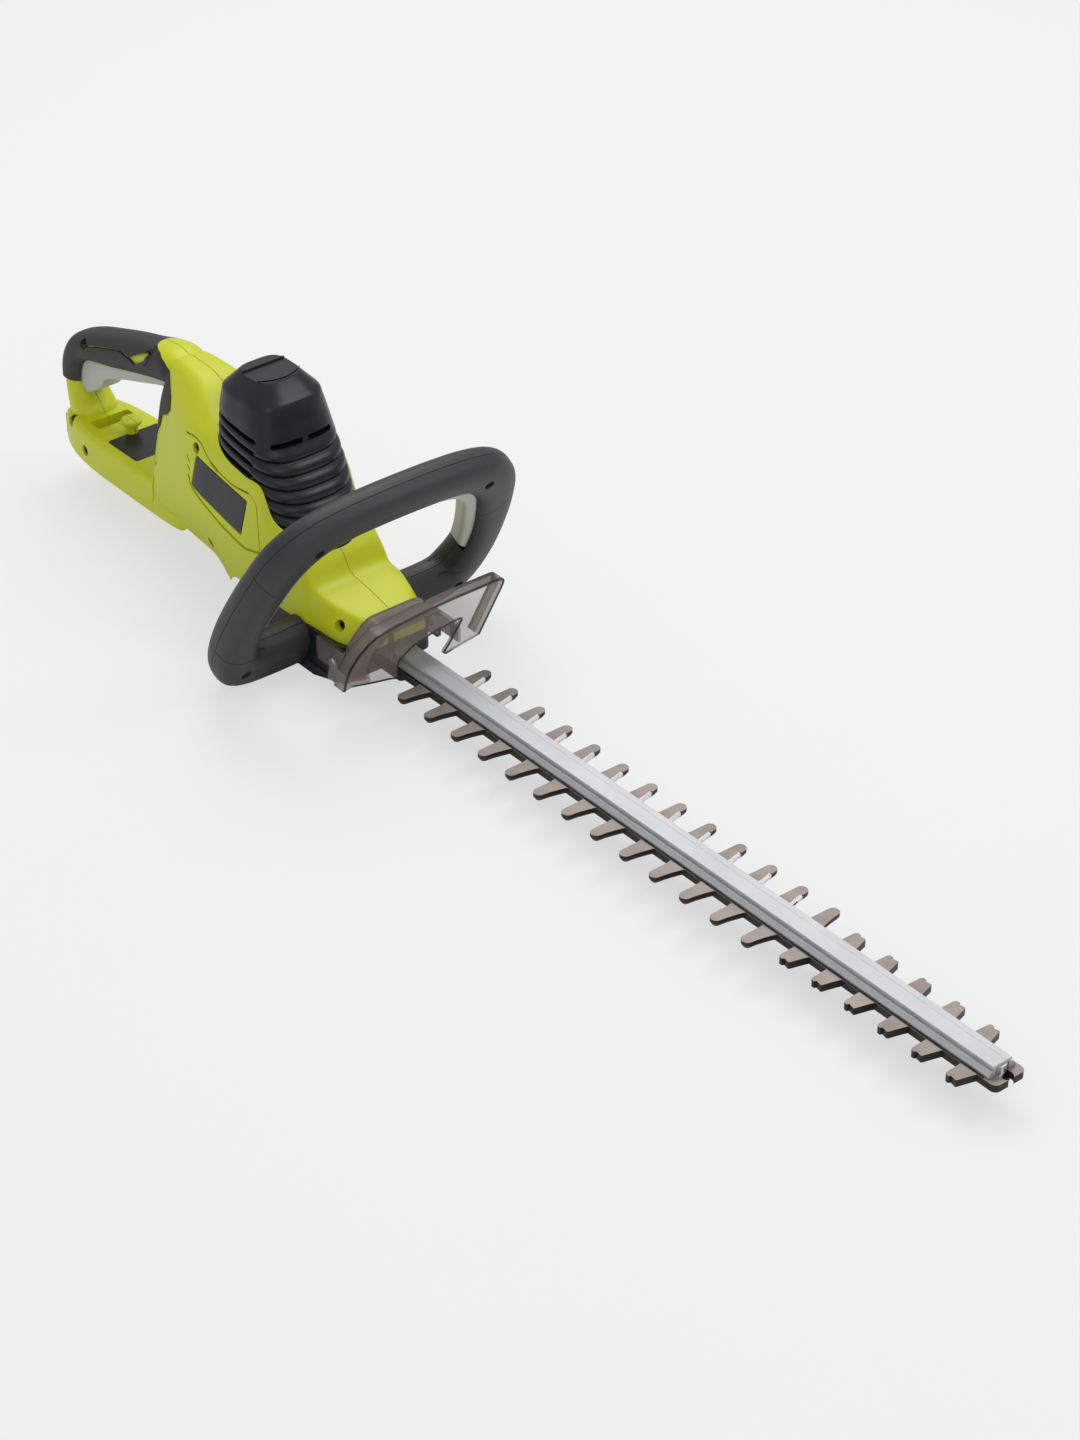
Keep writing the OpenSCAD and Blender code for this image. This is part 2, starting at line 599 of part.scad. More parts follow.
// Rows of the body: x, then height and half width of the bottom edge, the widest line, the ridge and the top edge
body_rows = [[-286, 6, 15, 20, 24, 100, 18, 124, 11], [-278, 3, 19, 22, 30, 104, 22, 129.5, 13],
    [-262, 3, 20, 30, 35, 106, 26, 130.5, 14], [-238, 2, 22, 44, 40, 106, 32, 128, 16],
    [-212, 0, 24, 52, 43, 105, 36, 116, 23.5], [-186, -12, 28, 50, 43, 104, 36.5, 110, 26],
    [-160, -18, 32, 46, 42.5, 102, 36.5, 107, 27], [-142, -18, 34, 40, 41.5, 96, 36.5, 101, 27],
    [-130, -18, 34, 34, 40.5, 74, 36, 79, 28], [-114, -18, 35, 26, 39.5, 60, 35, 65, 28],
    [-99, -18, 35, 22, 38, 47, 33.5, 52, 28], [-90, -18, 34, 19, 36.5, 38, 32.5, 41, 28],
    [-76, -18, 33, 17, 35.5, 35, 32, 38, 28], [-60, -18, 33, 16, 34.5, 32, 28, 35, 24],
    [-46, -18, 29, 16, 28, 29, 22, 31.5, 18], [-38, -18, 23, 16, 22, 27, 18, 29.5, 15]];

// Ring of the half body at row r, drawn in by g; its seam side lies at y = s
function body_ring(r, g, s) = let(
    p = rounded([[s, r[1] + g], [r[2] * k_w - g, r[1] + g], [r[4] * k_w - g, r[3]], [r[6] * k_w - g, r[5] - g * 0.4],
        [r[8] * k_w - g * 0.4, r[7] - g], [s, r[7] - g]], [0, 9, 16, 12, 9, 0], 3))
    [for (q = p) [r[0] + 0.18 * (q[1] - 69) * max(0, min(1, (-262 - r[0]) / 26)), q[0], q[1]]];

// Half of the body as a solid, from row t0 to t1 in n steps
module body_half(g, s, t0, t1, n) skin([for (k = [0 : n]) body_ring(along(body_rows, t0 + (t1 - t0) * k / n), g, s)]);

// Rows of the lower arm: x, bottom, top, half width
arm_k = arm_w / 56;
arm_rows = [[rear_x, 11, arm_top - 7, 8], [rear_x + 2, 6.5, arm_top - 3.5, 12.5], [rear_x + 7, 4.5, arm_top - 1.5, 17],
    [rear_x + 15, 3.5, arm_top - 0.5, 20.5], [rear_x + 26, 3, arm_top, 23.6], [rear_x + 39, 3, arm_top, 25.8],
    [rear_x + 55, 3, arm_top, 27.4], [-340, 3, arm_top, 28], [-268, 3, arm_top, 28],
    [-252, 5, arm_top - 3, 25], [-236, 9, arm_top - 7, 19]];
function arm_ring(r, g, s) = [for (q = rounded([[s, r[1] + g], [r[3] * arm_k - g, r[1] + g],
    [r[3] * arm_k - g, r[2] - g], [s, r[2] - g]], [0, 7, 6, 0], 3)) [r[0], q[0], q[1]]];
module arm_half(g, s) {
    m = len(arm_rows) - 1;
    skin([for (k = [0 : m]) let(r = arm_rows[k], e = k == m ? 0 : k == 0 ? g : g * (1 - k / m) * 0.9)
        arm_ring([r[0] + e, r[1], r[2], r[3]], g, s)]);
}

// Rows of the grip: outer x and z, inner x and z, half width
grip_k = grip_w / 31;
grip_rows = [[-416, 8, -388, 10, 19], [-416.5, 30, -385, 34, 19], [-419, 43, -395, 46, 17.5], [-423.5, 57, -398, 58, 15.5],
    [-421, 74, -396, 68, 15.5], [-410.5, 90, -390, 76, 15.5], [-391, 100.5, -377, 80, 15.5], [-367, 109, -357, 84.5, 15.5],
    [-340, 117.7, -332, 91.3, 15.5], [-313, 125, -305, 98.5, 16], [-296, 130, -290, 102, 17],
    [-281, 131.5, -280, 104.5, 17.5], [-266, 128, -270, 108, 14]];
soft_start = 2.8 / 12;
function grip_ring(t, g) = let(r = along(grip_rows, t), a = [r[0] - r[2], 0, r[1] - r[3]] / 2)
    oval([(r[0] + r[2]) / 2, 0, (r[1] + r[3]) / 2], a * (1 - g / norm(a)), [0, -r[4] * grip_k + g, 0], 2.35, 16);
module grip(t0, t1, n, g) skin([for (k = [0 : n]) grip_ring(t0 + (t1 - t0) * k / n, g)]);

pin_at = [-290, 113];
pin_d = 4;
trigger_swing = 4;

// Side view of the trigger, with the block that closes the rear of the hand hole
trigger_side = [[-283, 100], [-297, 97], [-330, 86], [-345, 81], [-366, 72.5], [-371, 69.5], [-374.5, 62], [-379, 58.5],
    [-393, 50], [-397, 50], [-404, 60], [-404, 70], [-399, 77], [-393, 80.5], [-385, 82], [-370, 86], [-350, 93],
    [-330, 100], [-302, 111], [-296, 118], [-285, 118], [-282, 110]];

// Closed outline p, listed clockwise, moved out by g
function grown(p, g) = let(n = len(p)) [for (i = [0 : n - 1])
    let(u = (p[i] - p[(i + n - 1) % n]) / norm(p[i] - p[(i + n - 1) % n]),
        v = (p[(i + 1) % n] - p[i]) / norm(p[(i + 1) % n] - p[i]), m = [-u[1] - v[1], u[0] + v[0]])
    p[i] + g * 2 / (m * m) * m];

// Slot through the inner side of the grip in which the trigger swings
module trigger_slot() side_cut(-trigger_w / 2 - 0.6, trigger_w / 2 + 0.6) for (a = [0, 0.5, 1] * trigger_swing)
    translate(pin_at) rotate(-a) translate(-pin_at) polygon(grown(trigger_side, 0.7));

// Lime window in the side of the soft cover, and the strip down the front of the hand hole
module window_side() polygon([[-331, 106], [-305, 119], [-301, 117], [-304, 112], [-317, 103]]);
// Side view of the soft cover: the grip, its collar and the strip down the front of the hand hole
cover_side = [[-450, 56.5], [-450, 170], [-303, 170], [-302, 128.5], [-288, 128], [-279.5, 125.5], [-271, 120],
    [-260, 110], [-257, 102], [-262, 96], [-270.5, 92], [-274.7, 81], [-285, 69], [-292, 66], [-375, 66], [-392, 57.5]];
strip_t = 1.2;
module both_sides() for (m = [0, 1]) mirror([0, m, 0]) children();

module grip_cover(side) difference() {
    mirror([0, side > 0 ? 0 : 1, 0]) difference() {
        intersection() {
            union() {
                half(1) grip(soft_start, 1, 20, 0);
                body_half(-0.6, 0, 0, 3 / 15, 6);
            }
            side_cut(-60, 60) polygon(cover_side);
        }
        grip(0, 1, 20, soft_t);
        body_half(strip_t, -0.5, 0, 3.2 / 15, 6);
    }
    side_cut(-40, 40) window_side();
    trigger_slot();
    screw_holes(side);
}
module grip_cover_right() color(soft_grey) in_place() grip_cover(-1);
module grip_cover_left() color(soft_grey) in_place() grip_cover(1);

// Screws through both halves: x, z and how far out the head sits
screw_at = [[-385, 94.6, 10], [-300.5, 123, 11], [-398, 29, 17], [-374, 17.5, 23], [-213, 95, 33], [-62, 25, 27],
    [-209.5, 20, 27]];
module screw_holes(side) for (q = screw_at) {
    if (side < 0) cross_rod(q[0], q[1], screw_head_d + 1, -60, -q[2]);
    if (side < 0) cross_rod(q[0], q[1], thread_d - 0.8, -60, 1);
    else cross_rod(q[0], q[1], thread_d - 1, -1, q[2] - 3);
}
module screw_bosses(side) for (q = screw_at)
    cross_rod(q[0], q[1], screw_head_d + 1.8, side < 0 ? -q[2] - 6 : 0, side < 0 ? 0 : q[2] + 6);

module housing_screws() color(bright) in_place() for (q = screw_at) {
    cross_rod(q[0], q[1], screw_head_d, -q[2] - 2.2, -q[2]);
    cross_rod(q[0], q[1], thread_d - 1, -q[2] - eps, q[2] - 5);
}

// Battery bay under the body and its roof
bay = [[-283, -24, -1], [-215, 24, 40]];
hook_x = -352;
slot_x = -376;
board_z = bay[1][2] + wall + 3;

module housing_shell(side) difference() {
    union() {
        body_half(0, 0, 0, 1, 30);
        arm_half(0, 0);
        half(1) grip(0, 1, 20, soft_t);
        half(1) difference() {
            grip(0.76, 1, 6, 0);
            side_cut(-60, 60) polygon(grown(cover_side, 0.05));
        }
        half(1) translate([hook_x, 0, arm_top - 4]) {
            cylinder(d = 9, h = 11);
            translate([0, 0, 11]) cylinder(d = 15, h = 4);
        }
    }
    body_half(wall, -1, 0.3 / 15, 14.7 / 15, 13);
    arm_half(wall, -1);
    grip(0.04, 0.99, 14, soft_t + wall);
}

module housing(side) mirror([0, side > 0 ? 0 : 1, 0]) difference() {
    union() {
        housing_shell(side);
        intersection() {
            union() {
                body_half(0.3, 0, 0, 1, 15);
                arm_half(0.3, 0);
                half(1) grip(0, 1, 12, soft_t + 0.4);
            }
            union() {
                mirror([0, side > 0 ? 0 : 1, 0]) screw_bosses(side);
                half(1) rounded_box([bay[0][0] - wall, bay[0][1] - wall, bay[0][2]],
                    [bay[1][0] + wall, bay[1][1] + wall, bay[1][2] + wall], 2);
                // wall around the cord slot and posts for the board
                half(1) rounded_box([slot_x - slot_w / 2 - wall, -slot_l / 2 - wall, 0],
                    [slot_x + slot_w / 2 + wall, slot_l / 2 + wall, arm_top], 3);
                for (x = [-276, -222]) translate([x, 18, bay[1][2]]) cylinder(d = 7, h = board_z - bay[1][2]);
                cross_rod(pin_at[0], pin_at[1], pin_d + 5, trigger_w / 2 + 0.7, 30);
            }
        }
    }
    mirror([0, side > 0 ? 0 : 1, 0]) screw_holes(side);
    // opening for the motor cover, and the place of the gear base
    skin(cover_plain(fit, 60));
    translate([base_rear - fit, -100, -100]) cube([300, 200, 100 + plate_top]);
    translate([-60, -rail_foot_w, 0]) cube([60, 2 * rail_foot_w, rail_z + rail_h + 1]);
    difference() {
        side_cut(-60, 60) polygon(grown(cover_side, 0.05));
        grip(0, 1, 20, soft_t);
        body_half(strip_t, -0.5, 0, 3.2 / 15, 6);
    }
    rounded_box([bay[0][0], bay[0][1], bay[0][2] - 20], [bay[1][0], bay[1][1], bay[1][2]], 2);
    rounded_box([slot_x - slot_w / 2, -slot_l / 2, -20], [slot_x + slot_w / 2, slot_l / 2, arm_top + 1], 2);
    inlet_box(0);
    for (y = terminal_y) translate([terminal_x, y - 0.6, 30]) cube([12, 1.2, 20]);
    trigger_slot();
    cross_rod(pin_at[0], pin_at[1], pin_d, -1, 14);
    // slits above and below the side panel
    for (q = [[-202, 97, -17], [-196, 58, -24]]) translate([q[0], 36, q[1]]) rotate([0, 12, 0])
        rounded_box([-8, 0, 0], [44, 20, 2], 0.9);
}
module housing_right() color(lime) in_place() housing(-1);
module housing_left() color(lime) in_place() housing(1);

// ---------------------------------------------------------------- pieces in the rear handle and the body

module trigger() color("darkgray") in_place() difference() {
    side_cut(-trigger_w / 2, trigger_w / 2) polygon(trigger_side);
    cross_rod(pin_at[0], pin_at[1], pin_d + 2 * run_gap, -20, 20);
    // room for the spring
    cross_rod(pin_at[0], pin_at[1], 11.5, -4, 4);
    translate([pin_at[0] - 3, -4, pin_at[1]]) cube([14, 8, 12]);
}

module trigger_pin() color(bright) in_place() cross_rod(pin_at[0], pin_at[1], pin_d, -13.5, 13.5);

// Coil of round wire along +Z: radius, wire, turns and height
module coil(r, w, turns, h) skin([for (k = [0 : turns * 10]) let(a = 36 * k, z = w / 2 + (h - w) * k / (turns * 10))
    [for (j = [0 : 4]) let(b = -72 * j) [(r + w / 2 * cos(b)) * cos(a), (r + w / 2 * cos(b)) * sin(a), z + w / 2 * sin(b)]]]);

module trigger_spring() color(bright) in_place() translate([pin_at[0], 0, pin_at[1]]) {
    translate([0, -3.2, 0]) rotate([-90, 0, 0]) coil(3.4, 1.2, 4, 6.4);
    translate([3.4, -3, 0]) rotate([0, 20, 0]) cylinder(d = 1.2, h = 7);
    translate([3.4, 3, 0]) rotate([0, -38, 0]) cylinder(d = 1.2, h = 7);
}

module trigger_switch() color(black) in_place() {
    translate([-344, -6, 103.2]) cube([13, 12, 6.8]);
    translate([-338, 0, 101.5]) cylinder(d = 3, h = 3);
}

module circuit_board() color("darkgreen") in_place() translate([0, 0, board_z]) difference() {
    translate([-280, -21, 0]) cube([68, 42, 1.6]);
    for (x = [-276, -222], y = [-18, 18]) translate([x, y, -1]) cylinder(d = 3, h = 4);
}
board_top = board_z + 1.6;

module capacitors() color("steelblue") in_place() for (q = [[-272, -10, 12, 22], [-272, 7, 10, 18], [-258, -14, 8, 14]])
    translate([q[0], q[1], board_top]) cylinder(d = q[2], h = q[3]);

// Laminated core with its winding
module transformer() color("tan") in_place() translate([-248, 0, board_top]) {
    difference() {
        translate([0, -19, 3]) cube([24, 38, 28]);
        translate([-1, -12, 10]) cube([26, 24, 14]);
    }
    translate([-3, -6, 10]) cube([30, 12, 14]);
    translate([2, -12, 0]) cube([20, 24, 3.5]);
}

module heat_sink() color("silver") in_place() translate([-220.5, -17, board_top]) {
    cube([8, 34, 2]);
    for (y = [0 : 6 : 30]) translate([0, y + 1, 0]) cube([8, 1.6, 22]);
}

terminal_x = -240;
terminal_y = [4, 12];
module battery_terminals() color("gold") in_place() for (s = [-1, 1], y = terminal_y)
    translate([terminal_x, s * y - 0.5, 30]) cube([12, 1, board_z - 30]);

inlet_low = [rear_x - 10, -15, 10];
inlet_high = [rear_x + 24, 15, 26];
module inlet_box(g) translate(inlet_low + [0, g, g])
    cube([inlet_high[0] - inlet_low[0] - g, inlet_high[1] - inlet_low[1] - 2 * g, inlet_high[2] - inlet_low[2] - 2 * g]);

module inlet_socket() color(black) in_place() difference() {
    intersection() {
        inlet_box(0.1);
        translate([rear_x + 3, -30, 0]) cube([60, 60, 60]);
    }
    translate([rear_x - 10, -12, 12.5]) cube([31, 24, 11]);
    for (y = [-6, 6]) translate([rear_x, y, 18]) rotate([0, 90, 0]) cylinder(d = 4, h = 60);
}

module inlet_pins() color(bright) in_place() for (y = [-6, 6]) translate([rear_x + 7, y, 18]) rotate([0, 90, 0])
    cylinder(d = 4, h = 26);

// Insulated wire through the points p
module wire(p, d) skin([for (i = [0 : len(p) - 1])
    let(v = p[min(i + 1, len(p) - 1)] - p[max(i - 1, 0)], n = v / norm(v), u = cross(n, [0, 1, 0]),
        e = u / norm(u), f = cross(n, e))
    [for (w = [0 : 45 : 315]) p[i] + d / 2 * (e * cos(w) + f * sin(w))]]);

module motor_leads() color("firebrick") in_place() for (s = [-1, 1])
    wire([[-158, s * 16, can_top + 1], [-158, s * 16, can_top + 6], [-161, s * 16, can_top + 8],
        [-189, s * 10, can_top + 8], [-192.5, s * 9.5, can_top + 4], [-194, s * 9, 36], [-197, s * 9, 31],
        [-206, s * 10, 31], [-209.2, s * 11, 34], [-209.2, s * 19, 47], [-211, s * 19.3, 50.5],
        [-214, s * 19.3, 50.5], [-215, s * 19.3, board_top + 0.3]], 2);

module switch_leads() color("firebrick") in_place() for (s = [-1, 1])
    wire([[-330.6, s * 4.5, 107], [-312, s * 5, 112.5], [-300, s * 5, 116.4], [-295.3, s * 5, 119.9],
        [-290, s * 5, 121.4], [-281, s * 5, 118.5], [-266, s * 6, 96], [-254, s * 5, 62],
        [-254, s * 5, board_top + 0.2]], 1.6);

// ---------------------------------------------------------------- front handle

// Moves from the handle's own frame, in which x is across, y is up along the handle and z is its front
module in_handle() in_place() translate(handle_foot) rotate([0, handle_lean, 0]) rotate([90, 0, 90]) children();

// Rows of the handle's left half: outer y and height, inner y and height, half thickness
tube = tube_t / 28;
loop_rows = [[37.5, -28, 37.5, 14, 13.5], [60, -28, 60, 12, 13.5], [82, -26, 76, 14, 13.5], [98.5, -17, 81, 22, 14],
    [109, 3, 84, 34, 14], [113, 32, 84.5, 48, 14], [112, 62, 82, 66, 14], [107.5, 95.5, 76, 88, 13.5],
    [98, 124.5, 69, 106, 13.5], [80.5, 142.5, 56, 119, 13], [56, 151, 38, 125.5, 13], [28, 154.3, 20, 127, 13],
    [0, 155, 0, 127.5, 13]];
function spread(y) = y <= 37.5 ? y : 37.5 + (y - 37.5) * (handle_w / 2 - 37.5) / 75.5;
loop_left = [for (r = loop_rows) [spread(r[0]), r[1], spread(r[2]), r[3], r[4] * tube]];
loop = concat(loop_left, [for (i = [len(loop_left) - 2 : -1 : 0]) let(r = loop_left[i]) [-r[0], r[1], -r[2], r[3], r[4]]]);

function loop_ring(t, g) = let(r = along(loop, t), a = [r[0] - r[2], r[1] - r[3], 0] / 2)
    oval([(r[0] + r[2]) / 2, (r[1] + r[3]) / 2, 0], a * (1 - g / norm(a)), [0, 0, r[4] - g], 2.5, 16);

module loop_tube(g, n) skin([for (k = [n : -1 : 0]) loop_ring(k / n, g)]);

// Rows of the lever: a point on the inside of the tube and the way out of it
function lever_row(t) = let(r = along(loop, t), a = [r[0] - r[2], r[1] - r[3]])
    [[r[2], r[3]], a / norm(a)];
lever_from = 4.45 / 24;
module lever_band(low, high, w, n, extra) skin([for (k = [n : -1 : 0])
    let(q = lever_row(lever_from - extra + (1 - 2 * lever_from + 2 * extra) * k / n), c = q[0] + q[1] * (low + high) / 2)
    oval([c[0], c[1], 0], [q[1][0], q[1][1], 0] * (high - low) / 2, [0, 0, w / 2], 5, 12)]);

handle_screw_at = [[-89, 0], [89, 0], [-69, 130], [69, 130]];

module handle_shell(front) intersection() {
    difference() {
        union() {
            difference() {
                loop_tube(0, 36);
                loop_tube(wall, 18);
            }
            intersection() {
                loop_tube(0.4, 18);
                union() {
                    for (q = handle_screw_at) translate([spread(abs(q[0])) * sign(q[0]), q[1], -20]) cylinder(d = 11, h = 40);
                    // walls next to the gear base
                    for (s = [-1, 1]) translate([s * (base_w / 2 + 1.5) - 1.5, -40, -20]) cube([3, 80, 40]);
                }
            }
        }
        for (q = handle_screw_at) translate([spread(abs(q[0])) * sign(q[0]), q[1], 0]) {
            translate([0, 0, 4]) cylinder(d = screw_head_d + 0.6, h = 30);
            translate([0, 0, front ? -30 : -9.5]) cylinder(d = front ? thread_d - 0.8 : thread_d - 1, h = front ? 60 : 9.6);
        }
        // slot for the lever through its whole travel, and room for its flange inside
        translate([0, 0, 0]) lever_band(-4, 8.5, lever_w + 1, 20, 0.012);
    }
    translate([-200, -100, front ? 0 : -40]) cube([400, 400, 40]);
}

// Cuts a handle shell to the floor, the gear base and the lime body
module trimmed() difference() {
    children();
    in_place() {
        translate([-300, -200, -100 - stand_h]) cube([400, 400, 100]);
        translate([-300, -base_w / 2 - 0.02, -100]) cube([400, base_w + 0.04, 100 + plate_top + 20]);
        both_sides() body_half(-0.4, -1, 6 / 15, 1, 9);
        for (q = arm_screws) cross_rod(q[0], q[1], thread_d - 0.8, -60, 60);
    }
}

module front_handle_front() color(soft_grey) trimmed() in_handle() handle_shell(true);
module front_handle_rear() color(soft_grey) trimmed() in_handle() handle_shell(false);

module handle_screws() color(bright) {
    in_handle() for (q = handle_screw_at) translate([spread(abs(q[0])) * sign(q[0]), q[1], 0]) {
        translate([0, 0, 4]) cylinder(d = screw_head_d, h = 2.2);
        translate([0, 0, -9]) cylinder(d = thread_d - 1, h = 13 + eps);
    }
    in_place() for (s = [0, 1], q = arm_screws) mirror([0, s, 0]) {
        cross_rod(q[0], q[1], screw_head_d, base_w / 2 + 3, base_w / 2 + 5.2);
        cross_rod(q[0], q[1], thread_d - 1, base_w / 2 - 9.5, base_w / 2 + 3 + eps);
    }
}

module switch_lever() color("darkgray") in_handle() {
    lever_band(-8, 6.4, lever_w, 20, 0);
    lever_band(6.2, 8.3, lever_w + 3, 20, -0.01);
}

spring_y = 32;
module lever_springs() color(bright) in_handle() for (s = [-1, 1]) translate([s * spring_y, 134.7, 0]) rotate([-90, 0, 0])
    coil(3.6, 1.2, 4, 16.3);

module lever_switch() color(black) in_handle() {
    translate([-10, 142, -5]) cube([20, 8.9, 10]);
    translate([0, 142.5, 0]) rotate([90, 0, 0]) cylinder(d = 3, h = 2.4);
}

// ---------------------------------------------------------------- guard

guard_top = [[-60, 6], [-57, 18], [-45, 31], [-34, 37], [-22, 39.5], [0, 41], [30, 42.5], [guard_reach - 1, 42],
    [guard_reach, 38], [53, 5]];
guard_under = [[30, 2], [24, 1], [22, 3], [27, 8], [39, 24], [15, 22], [-3, 18], [-15, 11], [-15, -2], [-21, 0],
    [-36, 3], [-53, 7]];
guard_x = -22.4;
hood_y = base_w / 2 - 0.5;
hood_line = [[-hood_y, 4], [-hood_y, 16], [6 - hood_y, 24], [17 - hood_y, 33], [hood_y - 17, 33], [hood_y - 6, 24],
    [hood_y, 16], [hood_y, 4]];
guard_hook = [[1 - hood_y, 3], [-53, 7], [-60, 6], [-57, 18]];

// Line p thickened by t to the right of the way along it
function band(p, t) = let(m = len(p) - 1) concat(p, [for (i = [m : -1 : 0])
    let(d = p[min(i + 1, m)] - p[max(i - 1, 0)]) p[i] + t / norm(d) * [d[1], -d[0]]]);

// Extrudes a front view, drawn as y and z, along the tool between two values of x
module front_cut(x0, x1) translate([x0, 0, 0]) rotate([90, 0, 90]) linear_extrude(x1 - x0) children();

module blade_guard() color([0.45, 0.4, 0.36, 0.6]) in_place() difference() {
    union() {
        front_cut(guard_x, guard_x + guard_t) polygon(concat(guard_top, guard_under));
        front_cut(guard_x - guard_rim, guard_x + eps) polygon(band(guard_top, guard_t));
        front_cut(guard_x - 2 * guard_rim, guard_x + eps) polygon(band(guard_hook, guard_t));
        front_cut(-46, guard_x + eps) polygon(band(hood_line, -guard_t + 0.2));
        for (s = [0, 1]) mirror([0, s, 0]) translate([-77, base_w / 2, -4]) cube([32, guard_t, 18]);
    }
    for (s = [0, 1]) mirror([0, s, 0]) cross_rod(guard_screw[0], guard_screw[1], 3.4, 20, 60);
}

module guard_screws() color(bright) in_place() for (s = [0, 1]) mirror([0, s, 0]) {
    cross_rod(guard_screw[0], guard_screw[1], 6.5, base_w / 2 + guard_t, base_w / 2 + guard_t + 2);
    cross_rod(guard_screw[0], guard_screw[1], 3, base_w / 2 - 7, base_w / 2 + guard_t + eps);
}

housing_right();
housing_left();
grip_cover_right();
grip_cover_left();
motor_cover();
gear_base();
base_cover();
base_screws();
gear_plate();
plate_screws();
drive_gear();
drive_shaft();
lower_bush();
upper_bush();
motor_can();
motor_magnets();
motor_end_cap();
motor_bearings();
motor_rotor();
motor_pinion();
cooling_fan();
motor_brushes();
upper_blade();
lower_blade();
blade_rail();
rail_nuts();
blade_bolts();
blade_washers();
blade_guard();
guard_screws();
front_handle_front();
front_handle_rear();
handle_screws();
switch_lever();
lever_springs();
lever_switch();
trigger();
trigger_pin();
trigger_spring();
trigger_switch();
housing_screws();
circuit_board();
capacitors();
transformer();
heat_sink();
battery_terminals();
inlet_socket();
inlet_pins();
motor_leads();
switch_leads();
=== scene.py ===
"""Hedge trimmer for battery or mains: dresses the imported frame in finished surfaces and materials.

Sizes inside the functions are millimetres in the tool's own frame, in which x = 0 is the first cutting
gap in front of the guard and z = 0 is the plane in which the two blades slide on each other. placed()
turns them into the metres of the frame.
"""
import math

import bpy
import bmesh
import numpy as np
from mathutils import Matrix, Vector


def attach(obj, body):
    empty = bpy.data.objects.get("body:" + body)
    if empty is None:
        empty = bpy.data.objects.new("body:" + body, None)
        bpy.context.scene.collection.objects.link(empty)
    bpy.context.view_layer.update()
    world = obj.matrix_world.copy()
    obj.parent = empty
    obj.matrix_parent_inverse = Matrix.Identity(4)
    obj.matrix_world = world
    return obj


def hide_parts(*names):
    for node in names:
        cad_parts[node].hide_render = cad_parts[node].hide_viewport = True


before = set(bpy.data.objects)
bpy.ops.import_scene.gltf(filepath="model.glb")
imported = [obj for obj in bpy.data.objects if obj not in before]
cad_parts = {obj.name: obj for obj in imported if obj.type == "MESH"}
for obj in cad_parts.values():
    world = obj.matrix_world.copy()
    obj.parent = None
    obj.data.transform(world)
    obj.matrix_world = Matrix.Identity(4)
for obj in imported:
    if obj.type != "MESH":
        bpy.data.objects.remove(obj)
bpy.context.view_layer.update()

bl_info = {
    "name": "Hedge Trimmer",
    "version": (1, 0, 0),
    "blender": (4, 5, 0),
    "location": "3D View > Sidebar > Trimmer",
    "description": "Adds the finished pieces and materials of a hedge trimmer",
    "category": "Add Mesh",
}

SHIFT = np.array([-53.82, 0.0, 22.5])
BLADE_END = 531.0
REAR = -419.0
PIN = np.array([-290.0, 113.0])
HANDLE_FOOT = np.array([-101.1, 0.0, 2.77])
LEAN = math.radians(28.5)


# ------------------------------------------------------------------ sizes and colours

def colour(name, text, value):
    """Colour property with its default."""
    return bpy.props.FloatVectorProperty(
        name=name, description=text, default=value, size=3, min=0.0, max=1.0, subtype="COLOR")


def length(name, text, value, low, high):
    """Length property in millimetres."""
    return bpy.props.FloatProperty(name=name, description=text, default=value, min=low, max=high)


class TrimmerSizes(bpy.types.PropertyGroup):
    """Sizes of the details that the finished pieces add to the solids, in millimetres."""
    seam: length("Seam", "Width of the parting lines between mouldings", 0.55, 0.1, 2.0)
    groove: length("Groove", "Depth of the grooves in the two sides", 1.3, 0.3, 2.0)
    panel: length("Panel", "Depth of the plates' pockets in the two sides", 0.8, 0.2, 2.0)
    rib: length("Rib", "Depth of the ribs on the motor cover", 2.6, 1.0, 4.0)
    slat: length("Slat", "Depth of the side louvres of the motor cover", 5.0, 1.0, 6.0)
    bevel: length("Bevel", "Width of the ground bevel on the teeth", 2.2, 0.5, 4.0)
    wall: length("Wall", "Wall thickness of the mouldings", 2.5, 1.5, 4.0)
    guard: length("Guard", "Thickness of the guard", 2.4, 1.5, 4.0)


class TrimmerColours(bpy.types.PropertyGroup):
    """Colours of the finishes."""
    lime: colour("Lime", "Colour of the housings", (0.560, 0.600, 0.008))
    soft: colour("Soft cover", "Colour of the soft cover of the grip", (0.027, 0.025, 0.026))
    handle: colour("Handle", "Colour of the front handle", (0.031, 0.031, 0.033))
    black: colour("Black", "Colour of the motor cover and the lower case", (0.007, 0.008, 0.010))
    grey: colour("Trigger", "Colour of the trigger and the switch lever", (0.440, 0.440, 0.400))
    steel: colour("Blade steel", "Colour of the two blades", (0.300, 0.262, 0.235))
    bright: colour("Aluminium", "Colour of the blade rail", (0.560, 0.564, 0.574))
    zinc: colour("Zinc", "Colour of screws, nuts and washers", (0.560, 0.565, 0.570))
    smoke: colour("Smoke", "Colour of the clear guard", (0.270, 0.228, 0.205))
    floor: colour("Floor", "Colour of the floor", (0.860, 0.860, 0.862))


def sizes():
    """Current sizes."""
    return bpy.context.scene.trimmer_sizes


def colours():
    """Current colours."""
    return bpy.context.scene.trimmer_colours


# ------------------------------------------------------------------ meshes

# Columns of a side view's two directions, and of the third, along each axis.
COLUMNS = {"x": (1, 2, 0), "y": (0, 2, 1), "z": (0, 1, 2)}


def linked(name, data):
    """New object of the scene that holds a mesh, a lamp or a camera."""
    piece = bpy.data.objects.new(name, data)
    bpy.context.scene.collection.objects.link(piece)
    return piece


def mesh_points(mesh):
    """Points of a mesh in metres, one row each."""
    co = np.empty(len(mesh.vertices) * 3)
    mesh.vertices.foreach_get("co", co)
    return co.reshape(-1, 3)


